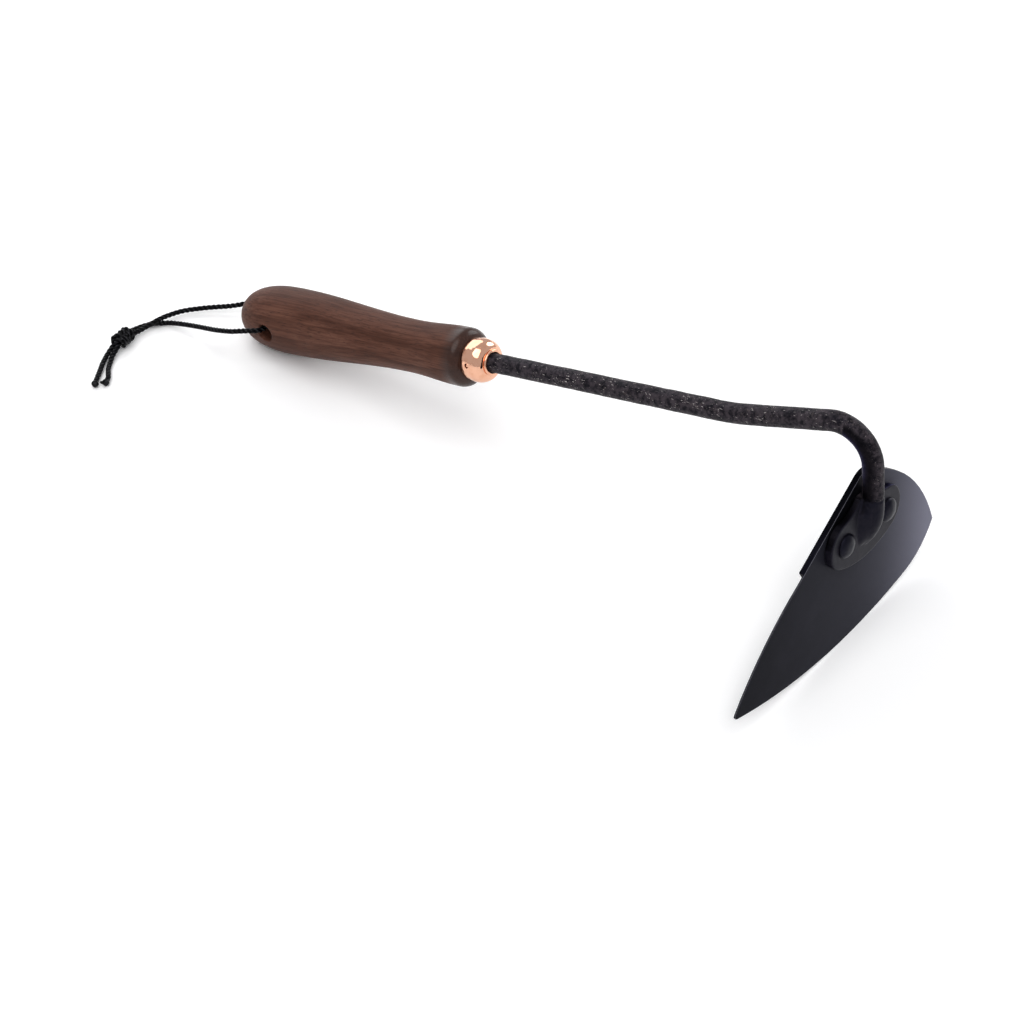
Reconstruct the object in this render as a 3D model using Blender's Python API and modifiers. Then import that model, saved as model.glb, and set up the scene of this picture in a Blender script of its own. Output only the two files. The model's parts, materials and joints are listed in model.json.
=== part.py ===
"""Draw hoe: turned walnut handle, copper ferrule, forged gooseneck shank and a riveted pointed blade.

Units are metres and +Z is up. The tool lies as it is put down, with the handle's butt and the
blade's cutting edge on the ground at Z = 0, the handle along +X and the blade's point towards -Y.
A cord lanyard is looped through the butt, knotted, and laid out on the ground behind it.
"""
import math

import bmesh
import bpy
from mathutils import Matrix, Vector

# Fits between touching pieces
CLEARANCE = 0.0003

# Handle, measured along its axis from the butt, and the collar back from the front end
HANDLE_LENGTH = 0.1603
BULB_POSITION = 0.036
BULB_RADIUS = 0.0173
BUTT_FULLNESS = 2.5
WAIST_POSITION = 0.121
WAIST_RADIUS = 0.0131
COLLAR_POSITION = 0.0063
COLLAR_RADIUS = 0.0146
SHOULDER_RADIUS = 0.0052
TENON_LENGTH = 0.0070
LANYARD_HOLE_POSITION = 0.0280
LANYARD_HOLE_RADIUS = 0.0041

# Ferrule
FERRULE_LENGTH = 0.0125
FERRULE_BASE_RADIUS = 0.0110
FERRULE_BELLY_RADIUS = 0.0112
FERRULE_BELLY_POSITION = 0.0045
FERRULE_WALL = 0.0009
FERRULE_LIP_WIDTH = 0.0015
FERRULE_LIP_LENGTH = 0.0012
PIN_RADIUS = 0.0009
PIN_LENGTH = 0.0055
PIN_POSITION = 0.0034
PIN_ANGLE = math.radians(171)

# Shank
BAR_RADIUS = 0.00475
TANG_RADIUS = 0.0034
TANG_LENGTH = 0.078
STEM_LENGTH = 0.1302
KINK_ANGLE = math.radians(7.5)
KINK_RADIUS = 0.120
RISE_LENGTH = 0.0429
GOOSENECK_RADIUS = 0.0170
LEG_SPLAY = math.radians(2.5)
LEG_OVER_APEX = 0.0049
TOE_ANGLE = math.radians(58)
TOE_RADIUS = 0.0230
TOE_START = 0.0115
TOE_STANDOFF = 0.0022

# Blade, in its own plane from the middle of the two rivets: across, then up
BLADE_LEAN = math.radians(7.0)
BLADE_THICKNESS = 0.0028
NOSE_TOP = Vector((-0.0935, -0.0419))
NOSE_FOOT = Vector((-0.0925, -0.0457))
BELLY_END = Vector((0.0434, -0.0487))
HEEL = Vector((0.0655, -0.0328))
CREST = Vector((0.0205, 0.0176))
APEX = Vector((0.0040, 0.0266))
STEP = Vector((-0.0476, -0.0048))
NOSE_BULGE = 0.0013
BELLY_BULGE = 0.0081
CORNER_BULGE = 0.0026
HEEL_BULGE = 0.0061
POINT_BULGE = 0.0027
APEX_RADIUS = 0.0090
GRIND_WIDTH = 0.0090
GRIND_LEAD = 0.0058
EDGE_LAND = 0.0006

# Riveted pad at the foot of the shank
PAD_THICKNESS = 0.0038
PAD_DROP = 0.0150
PAD_NECK_HEIGHT = 0.0168
PAD_NECK_MARGIN = 0.0005
PAD_FLARE = 0.0010
PAD_END_RADIUS = 0.0113
PAD_ROUNDING = 0.0008
RIVET_SPACING = 0.0336
RIVET_RADIUS = 0.0030
RIVET_HEAD_RADIUS = 0.0056
RIVET_HEAD_HEIGHT = 0.0026
RIVET_TAIL_RADIUS = 0.0050
RIVET_TAIL_HEIGHT = 0.0018

# How the tool settles on the ground: it rolls a little towards the heel of the blade
REST_ROLL = math.radians(3.0)

# Lanyard, laid out on the ground from the spot under the middle of its hole
CORD_RADIUS = 0.0011
KNOT_LENGTH = 0.0130
KNOT_RADIUS = 0.0046
KNOT_END_RADIUS = 0.0034
KNOT_PLACE = Vector((-0.0703, -0.0535))
KNOT_HEADING = math.radians(-77.3)
CORD_ROUTES = {
    "lanyard_near_leg": [
        (-0.0023, -0.0002, 0.0191), (-0.0023, -0.0080, 0.0191), (-0.0023, -0.0150, 0.0191),
        (-0.0029, -0.0190, 0.0197), (-0.0065, -0.0224, 0.0199), (-0.0106, -0.0242, 0.0190),
        (-0.0159, -0.0258, 0.0175), (-0.0269, -0.0261, 0.0140), (-0.0394, -0.0251, 0.0100),
        (-0.0523, -0.0245, 0.0060), (-0.0627, -0.0248, 0.0028), (-0.0680, -0.0265, 0.0014),
        (-0.0716, -0.0300, 0.0012), (-0.0736, -0.0335, 0.0013), (-0.0746, -0.0376, 0.0017),
        (-0.0744, -0.0420, 0.0026), (-0.0732, -0.0471, 0.0039)],
    "lanyard_far_leg": [
        (-0.0023, 0.0002, 0.0191), (-0.0023, 0.0080, 0.0191), (-0.0023, 0.0150, 0.0190),
        (-0.0029, 0.0190, 0.0186), (-0.0070, 0.0227, 0.0169), (-0.0145, 0.0240, 0.0146),
        (-0.0245, 0.0215, 0.0114), (-0.0340, 0.0158, 0.0080), (-0.0419, 0.0090, 0.0054),
        (-0.0475, 0.0042, 0.0043), (-0.0539, -0.0006, 0.0036), (-0.0602, -0.0062, 0.0031),
        (-0.0658, -0.0137, 0.0031), (-0.0682, -0.0222, 0.0037), (-0.0686, -0.0280, 0.0043),
        (-0.0690, -0.0324, 0.0042), (-0.0699, -0.0368, 0.0036), (-0.0704, -0.0415, 0.0033),
        (-0.0704, -0.0465, 0.0039)],
    "lanyard_tail_long": [
        (-0.0702, -0.0605, 0.0036), (-0.0689, -0.0659, 0.0018), (-0.0656, -0.0720, 0.0012),
        (-0.0614, -0.0781, 0.0012), (-0.0563, -0.0855, 0.0012), (-0.0542, -0.0881, 0.0012)],
    "lanyard_tail_short": [
        (-0.0674, -0.0599, 0.0036), (-0.0660, -0.0642, 0.0023), (-0.0630, -0.0692, 0.0014),
        (-0.0598, -0.0733, 0.0012), (-0.0564, -0.0765, 0.0012), (-0.0541, -0.0787, 0.0012),
        (-0.0525, -0.0815, 0.0012), (-0.0508, -0.0841, 0.0012)],
}

# Fineness of the round shapes
TURNED_STEPS = 40
SMALL_STEPS = 20
BEND_STEP = 8.0
CORD_STEP = 0.0050
CURVE_STEPS = 12

# Sizes that follow from the ones above
TENON_RADIUS = FERRULE_BASE_RADIUS - FERRULE_WALL - CLEARANCE
TENON_FRONT = HANDLE_LENGTH + TENON_LENGTH

# Turns that lay a piece's own upright axis along X or along Y, and a flat outline across the blade
ALONG_X = Matrix.Rotation(math.radians(90), 4, "Y")
ALONG_Y = Matrix.Rotation(math.radians(90), 4, "X")
UPRIGHT = Matrix(((0, 0, 1, 0), (1, 0, 0, 0), (0, 1, 0, 0), (0, 0, 0, 1)))


def clear_scene():
    for item in list(bpy.data.objects):
        bpy.data.objects.remove(item, do_unlink=True)


def make_collection(name):
    collection = bpy.data.collections.new(name)
    bpy.context.scene.collection.children.link(collection)
    return collection


def material(name, color, roughness, metallic=0.0):
    finish = bpy.data.materials.new(name)
    finish.use_nodes = True
    shader = finish.node_tree.nodes["Principled BSDF"]
    shader.inputs["Base Color"].default_value = (*color, 1.0)
    shader.inputs["Roughness"].default_value = roughness
    shader.inputs["Metallic"].default_value = metallic
    finish.diffuse_color = (*color, 1.0)
    return finish


def add_object(name, data, collection, parent=None, finish=None):
    item = bpy.data.objects.new(name, data)
    collection.objects.link(item)
    item.parent = parent
    if finish is not None:
        data.materials.append(finish)
    return item


def add_empty(name, collection, parent=None, matrix=Matrix()):
    empty = add_object(name, None, collection, parent)
    empty.matrix_local = matrix
    return empty


def shade(mesh, angle=math.radians(35)):
    mesh.shade_smooth()
    mesh.set_sharp_from_angle(angle=angle)


def turned(name, profile, steps, collection, parent=None, finish=None):
    """Revolve a profile of (radius, height) points, listed from top to bottom, about local Z."""
    mesh = bpy.data.meshes.new(name)
    points = [(radius, 0.0, height) for radius, height in profile]
    mesh.from_pydata(points, [(i, i + 1) for i in range(len(points) - 1)], [])
    item = add_object(name, mesh, collection, parent, finish)
    screw = item.modifiers.new("Turn", "SCREW")
    screw.steps = steps
    screw.render_steps = steps
    screw.use_merge_vertices = True
    screw.merge_threshold = 0.00001
    screw.use_smooth_shade = True
    return item


def solid_from(item, name, collection, parent=None, finish=None):
    """Replace a curve or a modified object by a closed mesh of the same shape and place."""
    bpy.context.view_layer.update()
    graph = bpy.context.evaluated_depsgraph_get()
    mesh = bpy.data.meshes.new_from_object(item.evaluated_get(graph))
    local = item.matrix_local.copy()
    cage = bmesh.new()
    cage.from_mesh(mesh)
    bmesh.ops.remove_doubles(cage, verts=cage.verts, dist=0.000001)
    bmesh.ops.recalc_face_normals(cage, faces=cage.faces)
    cage.to_mesh(mesh)
    cage.free()
    shade(mesh)
    bpy.data.objects.remove(item, do_unlink=True)
    mesh.materials.clear()
    solid = add_object(name, mesh, collection, parent, finish)
    solid.matrix_local = local
    return solid


def hide_cutter(item):
    item.hide_render = True
    item.display_type = "WIRE"
    return item


def cut(item, cutter, operation="DIFFERENCE", solver="EXACT"):
    boolean = item.modifiers.new(cutter.name, "BOOLEAN")
    boolean.operation = operation
    boolean.solver = solver
    boolean.object = cutter


def cylinder(name, radius, length, steps, collection, parent, matrix):
    """A capped cylinder centred on its own origin, along the local Z of the given matrix."""
    mesh = bpy.data.meshes.new(name)
    cage = bmesh.new()
    bmesh.ops.create_cone(cage, cap_ends=True, segments=steps, radius1=radius, radius2=radius,
                          depth=length)
    cage.to_mesh(mesh)
    cage.free()
    item = add_object(name, mesh, collection, parent)
    item.matrix_local = matrix
    return item


def ease(start, end, amount):
    """Blend from start to end with a level run-in and run-out."""
    return start + (end - start) * (1.0 - math.cos(math.pi * amount)) / 2.0


def arc(start, end, bulge, count):
    """Points from start up to, but not including, end on an arc that bows to the right."""
    chord = end - start
    half = chord.length / 2.0
    radius = (half * half + bulge * bulge) / (2.0 * bulge)
    right = Vector((chord.y, -chord.x)).normalized()
    centre = (start + end) / 2.0 - right * (radius - bulge)
    sweep = 2.0 * math.asin(half / radius)
    first = start - centre
    return [centre + Matrix.Rotation(sweep * i / count, 2) @ first for i in range(count)]


def fillet(before, corner, after, radius, count):
    """Points round a corner on an arc tangent to both of its sides."""
    to_before = (before - corner).normalized()
    to_after = (after - corner).normalized()
    half = to_before.angle(to_after) / 2.0
    reach = radius / math.tan(half)
    centre = corner + (to_before + to_after).normalized() * (radius / math.sin(half))
    first = corner + to_before * reach - centre
    turn = math.pi - 2.0 * half
    return [centre + Matrix.Rotation(turn * i / count, 2) @ first for i in range(count + 1)]


def walk(start, heading, moves):
    """Trace a centre line in the XZ plane from straight runs and bends of (angle, radius)."""
    place = Vector(start)
    points = [place.copy()]
    for angle, size in moves:
        if angle == 0.0:
            place = place + Vector((math.cos(heading), math.sin(heading))) * size
            points.append(place.copy())
            continue
        side = math.copysign(1.0, angle)
        centre = place + Vector((-math.sin(heading), math.cos(heading))) * (side * size)
        spoke = place - centre
        count = max(3, round(abs(math.degrees(angle)) / BEND_STEP))
        for i in range(1, count + 1):
            points.append(centre + Matrix.Rotation(angle * i / count, 2) @ spoke)
        place = points[-1].copy()
        heading += angle
    return points, heading


def handle_profile():
    """Bored tenon, rounded shoulder, collar, waist and bulb, from the front end to the butt."""
    bore = TANG_RADIUS + CLEARANCE
    bore_end = TENON_FRONT - TANG_LENGTH - CLEARANCE
    profile = [(0.0, bore_end), (bore, bore_end), (bore, TENON_FRONT), (TENON_RADIUS, TENON_FRONT)]
    profile.append((TENON_RADIUS, HANDLE_LENGTH))
    for i in range(9):
        angle = math.pi / 2.0 * i / 8
        radius = COLLAR_RADIUS - SHOULDER_RADIUS * (1.0 - math.sin(angle))
        profile.append((radius, HANDLE_LENGTH - SHOULDER_RADIUS * (1.0 - math.cos(angle))))
    collar = HANDLE_LENGTH - COLLAR_POSITION
    profile += [(ease(COLLAR_RADIUS, WAIST_RADIUS, i / 8),
                 collar + (WAIST_POSITION - collar) * i / 8) for i in range(9)]
    profile += [(ease(WAIST_RADIUS, BULB_RADIUS, i / 14),
                 WAIST_POSITION + (BULB_POSITION - WAIST_POSITION) * i / 14) for i in range(1, 15)]
    for i in range(1, 13):
        angle = math.pi / 2.0 * i / 12
        radius = BULB_RADIUS * math.cos(angle) ** (2.0 / BUTT_FULLNESS)
        profile.append((radius, BULB_POSITION * (1.0 - math.sin(angle) ** (2.0 / BUTT_FULLNESS))))
    profile[-1] = (0.0, 0.0)
    return profile


def build_handle(parts, cutters, tool):
    walnut = material("walnut", (0.115, 0.060, 0.042), 0.45)
    handle = turned("handle", handle_profile(), TURNED_STEPS, parts, tool, walnut)
    handle.matrix_local = ALONG_X
    level = Matrix.Rotation(REST_ROLL, 4, "X") @ ALONG_Y
    drill = cylinder("lanyard_drill", LANYARD_HOLE_RADIUS, 3.0 * BULB_RADIUS, SMALL_STEPS, cutters,
                     tool, Matrix.Translation((LANYARD_HOLE_POSITION, 0, 0)) @ level)
    cut(handle, hide_cutter(drill))
    return handle


def ferrule_profile():
    """Lip, dome and belly of the cap from its front end, then its socket for the tenon."""
    hole = BAR_RADIUS + CLEARANCE
    socket = TENON_RADIUS + CLEARANCE
    socket_end = TENON_LENGTH + 2.0 * CLEARANCE
    lip = hole + FERRULE_LIP_WIDTH
    lip_base = FERRULE_LENGTH - FERRULE_LIP_LENGTH
    profile = [(hole, FERRULE_LENGTH), (lip, FERRULE_LENGTH)]
    for i in range(11):
        angle = math.pi / 2.0 * i / 10
        profile.append((lip + (FERRULE_BELLY_RADIUS - lip) * math.sin(angle),
                        FERRULE_BELLY_POSITION
                        + (lip_base - FERRULE_BELLY_POSITION) * math.cos(angle)))
    profile += [(FERRULE_BASE_RADIUS, CLEARANCE), (socket, CLEARANCE)]
    profile += [(socket, socket_end), (hole, socket_end), (hole, FERRULE_LENGTH)]
    return profile


def build_ferrule(parts, cutters, tool, handle):
    copper = material("copper", (0.75, 0.35, 0.20), 0.12, 1.0)
    ferrule = turned("ferrule", ferrule_profile(), TURNED_STEPS, parts, tool, copper)
    ferrule.matrix_local = Matrix.Translation((HANDLE_LENGTH, 0, 0)) @ ALONG_X

    outward = Matrix.Rotation(PIN_ANGLE, 4, "X") @ ALONG_Y.inverted()
    place = Matrix.Translation((HANDLE_LENGTH + PIN_POSITION, 0, 0)) @ outward
    drill_depth = PIN_LENGTH + CLEARANCE
    drill = cylinder("pin_drill", PIN_RADIUS + CLEARANCE, 2.0 * drill_depth, SMALL_STEPS, cutters,
                     tool, place @ Matrix.Translation((0, 0, FERRULE_BELLY_RADIUS)))
    cut(ferrule, hide_cutter(drill))
    cut(handle, drill)
    crown = PIN_RADIUS / 3.0
    profile = [(0.0, 0.0), (PIN_RADIUS * 0.7, -crown / 2.0), (PIN_RADIUS, -crown),
               (PIN_RADIUS, -PIN_LENGTH), (0.0, -PIN_LENGTH)]
    pin = turned("ferrule_pin", profile, SMALL_STEPS, parts, tool, copper)
    pin.matrix_local = place @ Matrix.Translation((0, 0, FERRULE_BELLY_RADIUS))


def shank_path():
    """Centre line of the bar from the tang to the toe, with the frame of the blade under it."""
    start = (TENON_FRONT + CLEARANCE, 0.0)
    stem = HANDLE_LENGTH + FERRULE_LENGTH + STEM_LENGTH - start[0]
    gooseneck = KINK_ANGLE + math.radians(90) + BLADE_LEAN - LEG_SPLAY
    leg = (APEX.y + LEG_OVER_APEX - TOE_START) / math.cos(LEG_SPLAY)
    moves = [(0.0, stem), (KINK_ANGLE, KINK_RADIUS), (0.0, RISE_LENGTH),
             (-gooseneck, GOOSENECK_RADIUS), (0.0, leg)]
    points, heading = walk(start, 0.0, moves)
    toe, _ = walk(points[-1], heading, [(-TOE_ANGLE, TOE_RADIUS)])
    outward = Vector((math.cos(BLADE_LEAN), -math.sin(BLADE_LEAN)))
    upward = Vector((math.sin(BLADE_LEAN), math.cos(BLADE_LEAN)))
    origin = points[-1] - outward * (BAR_RADIUS + TOE_STANDOFF) - upward * TOE_START
    frame = (Matrix.Translation((origin.x, 0.0, origin.y))
             @ Matrix.Rotation(BLADE_LEAN, 4, "Y"))
    return points + toe[1:], frame


def build_bar(points, collection, tool, finish):
    """The round bar, with its thinner tang running back into the handle."""
    shoulder = points[0]
    tang = [shoulder - Vector((TANG_LENGTH, 0.0)), shoulder - Vector((CLEARANCE, 0.0))]
    route = [(point, TANG_RADIUS) for point in tang] + [(point, BAR_RADIUS) for point in points]
    curve = bpy.data.curves.new("bar", "CURVE")
    curve.dimensions = "3D"
    curve.bevel_depth = 1.0
    curve.bevel_resolution = 8
    curve.use_fill_caps = True
    spline = curve.splines.new("POLY")
    spline.points.add(len(route) - 1)
    for knot, (point, radius) in zip(spline.points, route):
        knot.co = (point.x, 0.0, point.y, 1.0)
        knot.radius = radius
    bar = add_object("bar", curve, collection, tool)
    return solid_from(bar, "shank", collection, tool, finish)


def plate(name, outline, thickness, collection, parent, matrix, finish=None):
    """A flat outline, thickened equally to both sides, as a closed mesh."""
    curve = bpy.data.curves.new(name, "CURVE")
    curve.dimensions = "2D"
    curve.fill_mode = "BOTH"
    curve.extrude = thickness / 2.0
    spline = curve.splines.new("POLY")
    spline.points.add(len(outline) - 1)
    for knot, point in zip(spline.points, outline):
        knot.co = (point.x, point.y, 0.0, 1.0)
    spline.use_cyclic_u = True
    item = add_object(name, curve, collection, parent)
    item.matrix_local = matrix
    return solid_from(item, name, collection, parent, finish)


def round_points(centre, radius, first, last, count):
    """Points on an arc about a centre, from the first angle up to, but not including, the last."""
    angles = [first + (last - first) * i / count for i in range(count)]
    return [centre + Vector((math.cos(angle), math.sin(angle))) * radius for angle in angles]


def pad_outline():
    """Round ends about the two rivets, a shallow arc below, and flares up to the bar above."""
    half = RIVET_SPACING / 2.0
    quarter = math.pi / 2.0
    belly_radius = (half ** 2 + PAD_DROP ** 2 - PAD_END_RADIUS ** 2) / (2.0 * (PAD_DROP - PAD_END_RADIUS))
    lean = math.asin(half / (belly_radius - PAD_END_RADIUS))
    heel_end, point_end = Vector((half, 0.0)), Vector((-half, 0.0))
    rise = Vector((0.0, PAD_END_RADIUS))
    neck_width = BAR_RADIUS + PAD_NECK_MARGIN
    heel_neck, point_neck = [Vector((side * neck_width, PAD_NECK_HEIGHT)) for side in (1, -1)]
    outline = round_points(heel_end, PAD_END_RADIUS, lean - quarter, quarter, 10)
    outline += arc(heel_end + rise, heel_neck, -PAD_FLARE, 5) + [heel_neck]
    outline += arc(point_neck, point_end + rise, -PAD_FLARE, 5)
    outline += round_points(point_end, PAD_END_RADIUS, quarter, 3.0 * quarter - lean, 10)
    outline += round_points(Vector((0.0, belly_radius - PAD_DROP)), belly_radius, 3.0 * quarter - lean,
                            3.0 * quarter + lean, 8)
    return outline


def build_shank(parts, cutters, tool, points, blade_frame):
    """The bar and the forged pad as one piece, flat behind where it seats on the blade."""
    scale = material("black_scale", (0.016, 0.015, 0.017), 0.55, 0.3)
    shank = build_bar(points, parts, tool, scale)
    lift = CLEARANCE + PAD_THICKNESS / 2.0
    pad = plate("pad", pad_outline(), PAD_THICKNESS, cutters, blade_frame,
                Matrix.Translation((lift, 0, 0)) @ UPRIGHT)
    soften = pad.modifiers.new("Soften", "BEVEL")
    soften.width = PAD_ROUNDING
    soften.segments = 2
    soften.limit_method = "ANGLE"
    cut(shank, hide_cutter(pad), "UNION")

    mesh = bpy.data.meshes.new("seat_trim")
    cage = bmesh.new()
    bmesh.ops.create_cube(cage, size=1.0)
    cage.to_mesh(mesh)
    cage.free()
    trim = add_object("seat_trim", mesh, cutters, blade_frame)
    depth = 4.0 * BAR_RADIUS
    top = APEX.y + CLEARANCE
    bottom = TOE_START - 2.0 * TOE_RADIUS - BAR_RADIUS
    size = Matrix.Diagonal((depth, 4.0 * BAR_RADIUS, top - bottom, 1.0))
    trim.matrix_local = Matrix.Translation((CLEARANCE - depth / 2.0, 0, (top + bottom) / 2.0)) @ size
    cut(shank, hide_cutter(trim))
    return shank


def blade_outline():
    """The plate's edge from the point along the belly to the heel and back over the top."""
    outline = arc(NOSE_TOP, NOSE_FOOT, NOSE_BULGE, 4)
    outline += arc(NOSE_FOOT, BELLY_END, BELLY_BULGE, 18)
    outline += arc(BELLY_END, HEEL, CORNER_BULGE, 6)
    outline += arc(HEEL, CREST, HEEL_BULGE, 10)
    outline += [CREST] + fillet(CREST, APEX, STEP, APEX_RADIUS, 5)
    outline += arc(STEP, NOSE_TOP, POINT_BULGE, 10)
    return outline


def grind_cutter(name, edge, collection, parent):
    """A wedge along an edge of the plate that leaves a ground bevel on the face behind."""
    spare = BLADE_THICKNESS
    slope = (BLADE_THICKNESS - EDGE_LAND) / GRIND_WIDTH
    rings = []
    for i, point in enumerate(edge):
        along = edge[min(i + 1, len(edge) - 1)] - edge[max(i - 1, 0)]
        outside = Vector((along.y, -along.x)).normalized()
        section = [(spare, EDGE_LAND - slope * spare),
                   (-GRIND_WIDTH - spare, BLADE_THICKNESS + slope * spare),
                   (spare, BLADE_THICKNESS + slope * spare)]
        ring = []
        for reach, depth in section:
            place = point + outside * reach
            ring.append(Vector((-depth, place.x, place.y)))
        rings.append(ring)
    return skin(name, rings, collection, parent)


def skin(name, rings, collection, parent):
    """A closed mesh over a row of like rings."""
    cage = bmesh.new()
    rows = [[cage.verts.new(point) for point in ring] for ring in rings]
    count = len(rows[0])
    for near, far in zip(rows, rows[1:]):
        for i in range(count):
            j = (i + 1) % count
            cage.faces.new((near[i], near[j], far[j], far[i]))
    cage.faces.new(reversed(rows[0]))
    cage.faces.new(rows[-1])
    bmesh.ops.recalc_face_normals(cage, faces=cage.faces)
    mesh = bpy.data.meshes.new(name)
    cage.to_mesh(mesh)
    cage.free()
    return hide_cutter(add_object(name, mesh, collection, parent))


def build_blade(parts, cutters, blade_frame):
    """The flat pointed plate, ground behind along the belly and the front of its top edge."""
    paint = material("black_paint", (0.022, 0.022, 0.027), 0.42)
    blade = plate("blade", blade_outline(), BLADE_THICKNESS, parts, blade_frame,
                  Matrix.Translation((-BLADE_THICKNESS / 2.0, 0, 0)) @ UPRIGHT, paint)
    run_out = GRIND_WIDTH
    belly = arc(NOSE_FOOT, BELLY_END, BELLY_BULGE, 18)
    belly += arc(BELLY_END, HEEL, CORNER_BULGE, 6) + [HEEL]
    lead = STEP + (APEX - STEP).normalized() * GRIND_LEAD
    point = [lead] + arc(STEP, NOSE_TOP, POINT_BULGE, 10) + [NOSE_TOP]
    belly.insert(0, belly[0] + (belly[0] - belly[1]).normalized() * run_out)
    belly.append(belly[-1] + (belly[-1] - belly[-2]).normalized() * run_out)
    point.append(point[-1] + (point[-1] - point[-2]).normalized() * run_out)
    cut(blade, grind_cutter("belly_grind", belly, cutters, blade_frame), solver="MANIFOLD")
    cut(blade, grind_cutter("point_grind", point, cutters, blade_frame), solver="MANIFOLD")
    return blade


def rivet_profile():
    """Domed head on the pad, stem through pad and blade, and the peened end behind."""
    head_base = PAD_THICKNESS + 2.0 * CLEARANCE
    tail_base = -BLADE_THICKNESS - CLEARANCE
    profile = []
    for i in range(7):
        angle = math.pi / 2.0 * i / 6
        profile.append((RIVET_HEAD_RADIUS * math.sin(angle),
                        head_base + RIVET_HEAD_HEIGHT * math.cos(angle)))
    profile += [(RIVET_RADIUS, head_base), (RIVET_RADIUS, tail_base)]
    for i in range(7):
        angle = math.pi / 2.0 * i / 6
        profile.append((RIVET_TAIL_RADIUS * math.cos(angle),
                        tail_base - RIVET_TAIL_HEIGHT * math.sin(angle)))
    profile[0] = (0.0, profile[0][1])
    profile[-1] = (0.0, profile[-1][1])
    return profile


def build_rivets(parts, cutters, blade_frame, shank, blade):
    steel = material("black_rivet", (0.020, 0.020, 0.024), 0.38, 0.2)
    for name, side in (("rivet_point_side", -1), ("rivet_heel_side", 1)):
        place = Matrix.Translation((0, side * RIVET_SPACING / 2.0, 0)) @ ALONG_X
        rivet = turned(name, rivet_profile(), SMALL_STEPS, parts, blade_frame, steel)
        rivet.matrix_local = place
        drill = cylinder(name + "_drill", RIVET_RADIUS + CLEARANCE,
                         4.0 * (PAD_THICKNESS + BLADE_THICKNESS), SMALL_STEPS, cutters,
                         blade_frame, place)
        cut(shank, hide_cutter(drill))
        cut(blade, drill, solver="MANIFOLD")


def world_points(item):
    bpy.context.view_layer.update()
    graph = bpy.context.evaluated_depsgraph_get()
    mesh = item.evaluated_get(graph).to_mesh()
    return [item.matrix_world @ vertex.co for vertex in mesh.vertices]


def lay_down(tool, parts, handle, blade):
    """Pitch the tool until butt and cutting edge are level, and centre it over the origin."""
    roll = Matrix.Rotation(-REST_ROLL, 3, "X")
    butt, edge = [[roll @ point for point in world_points(item)] for item in (handle, blade)]
    low, high = 0.0, math.radians(45)
    for _ in range(40):
        pitch = (low + high) / 2.0
        turn = Matrix.Rotation(-pitch, 3, "Y")
        if min((turn @ point).z for point in edge) < min((turn @ point).z for point in butt):
            low = pitch
        else:
            high = pitch
    tool.matrix_local = (Matrix.Rotation(-high, 3, "Y") @ roll).to_4x4()
    points = [point for item in parts.objects if item.type == "MESH" for point in world_points(item)]
    corners = [[pick(point[axis] for point in points) for pick in (min, max)] for axis in range(3)]
    shift = Vector((-sum(corners[0]) / 2.0, -sum(corners[1]) / 2.0, -corners[2][0]))
    tool.matrix_local = Matrix.Translation(shift) @ tool.matrix_local
    bpy.context.view_layer.update()


def smooth_route(points):
    """Evenly spaced points on a smooth curve through the points of a route."""
    knots = [Vector(point) for point in points]
    knots = [2.0 * knots[0] - knots[1]] + knots + [2.0 * knots[-1] - knots[-2]]
    fine = []
    for before, start, end, after in zip(knots, knots[1:], knots[2:], knots[3:]):
        for i in range(CURVE_STEPS):
            t = i / CURVE_STEPS
            fine.append(0.5 * (2.0 * start + (end - before) * t
                               + (2.0 * before - 5.0 * start + 4.0 * end - after) * t * t
                               + (3.0 * start - before - 3.0 * end + after) * t ** 3))
    fine.append(knots[-2])
    lengths = [(end - start).length for start, end in zip(fine, fine[1:])]
    count = math.ceil(sum(lengths) / CORD_STEP)
    spacing = sum(lengths) / count
    route, travelled = [fine[0]], 0.0
    for start, end, length in zip(fine, fine[1:], lengths):
        while travelled + length >= spacing * len(route) and len(route) < count:
            route.append(start.lerp(end, (spacing * len(route) - travelled) / length))
        travelled += length
    return route + [fine[-1]]


def build_lanyard(parts, tool):
    """Two legs from the hole to the knot, the knot's lump, and the two loose tails."""
    fabric = material("black_cord", (0.008, 0.008, 0.009), 0.5)
    hole = tool.matrix_world @ Vector((LANYARD_HOLE_POSITION, 0.0, 0.0))
    ground = add_empty("lanyard_frame", parts, None, Matrix.Translation((hole.x, hole.y, 0.0)))
    for name, points in CORD_ROUTES.items():
        curve = bpy.data.curves.new(name, "CURVE")
        curve.dimensions = "3D"
        curve.bevel_depth = CORD_RADIUS
        curve.bevel_resolution = 2
        curve.use_fill_caps = True
        spline = curve.splines.new("POLY")
        route = smooth_route(points)
        spline.points.add(len(route) - 1)
        for knot, point in zip(spline.points, route):
            knot.co = (*point, 1.0)
        add_object(name, curve, parts, ground, fabric)

    half = KNOT_LENGTH / 2.0
    profile = [(0.0, half)]
    for i in range(9):
        along = math.cos(math.pi * i / 8)
        swell = KNOT_RADIUS - KNOT_END_RADIUS
        profile.append((KNOT_END_RADIUS + swell * math.sqrt(1.0 - along * along), half * along))
    profile.append((0.0, -half))
    lump = turned("lanyard_knot", profile, SMALL_STEPS, parts, ground, fabric)
    lump.matrix_local = (Matrix.Translation((*KNOT_PLACE, KNOT_RADIUS))
                         @ Matrix.Rotation(KNOT_HEADING, 4, "Z") @ ALONG_X)


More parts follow.
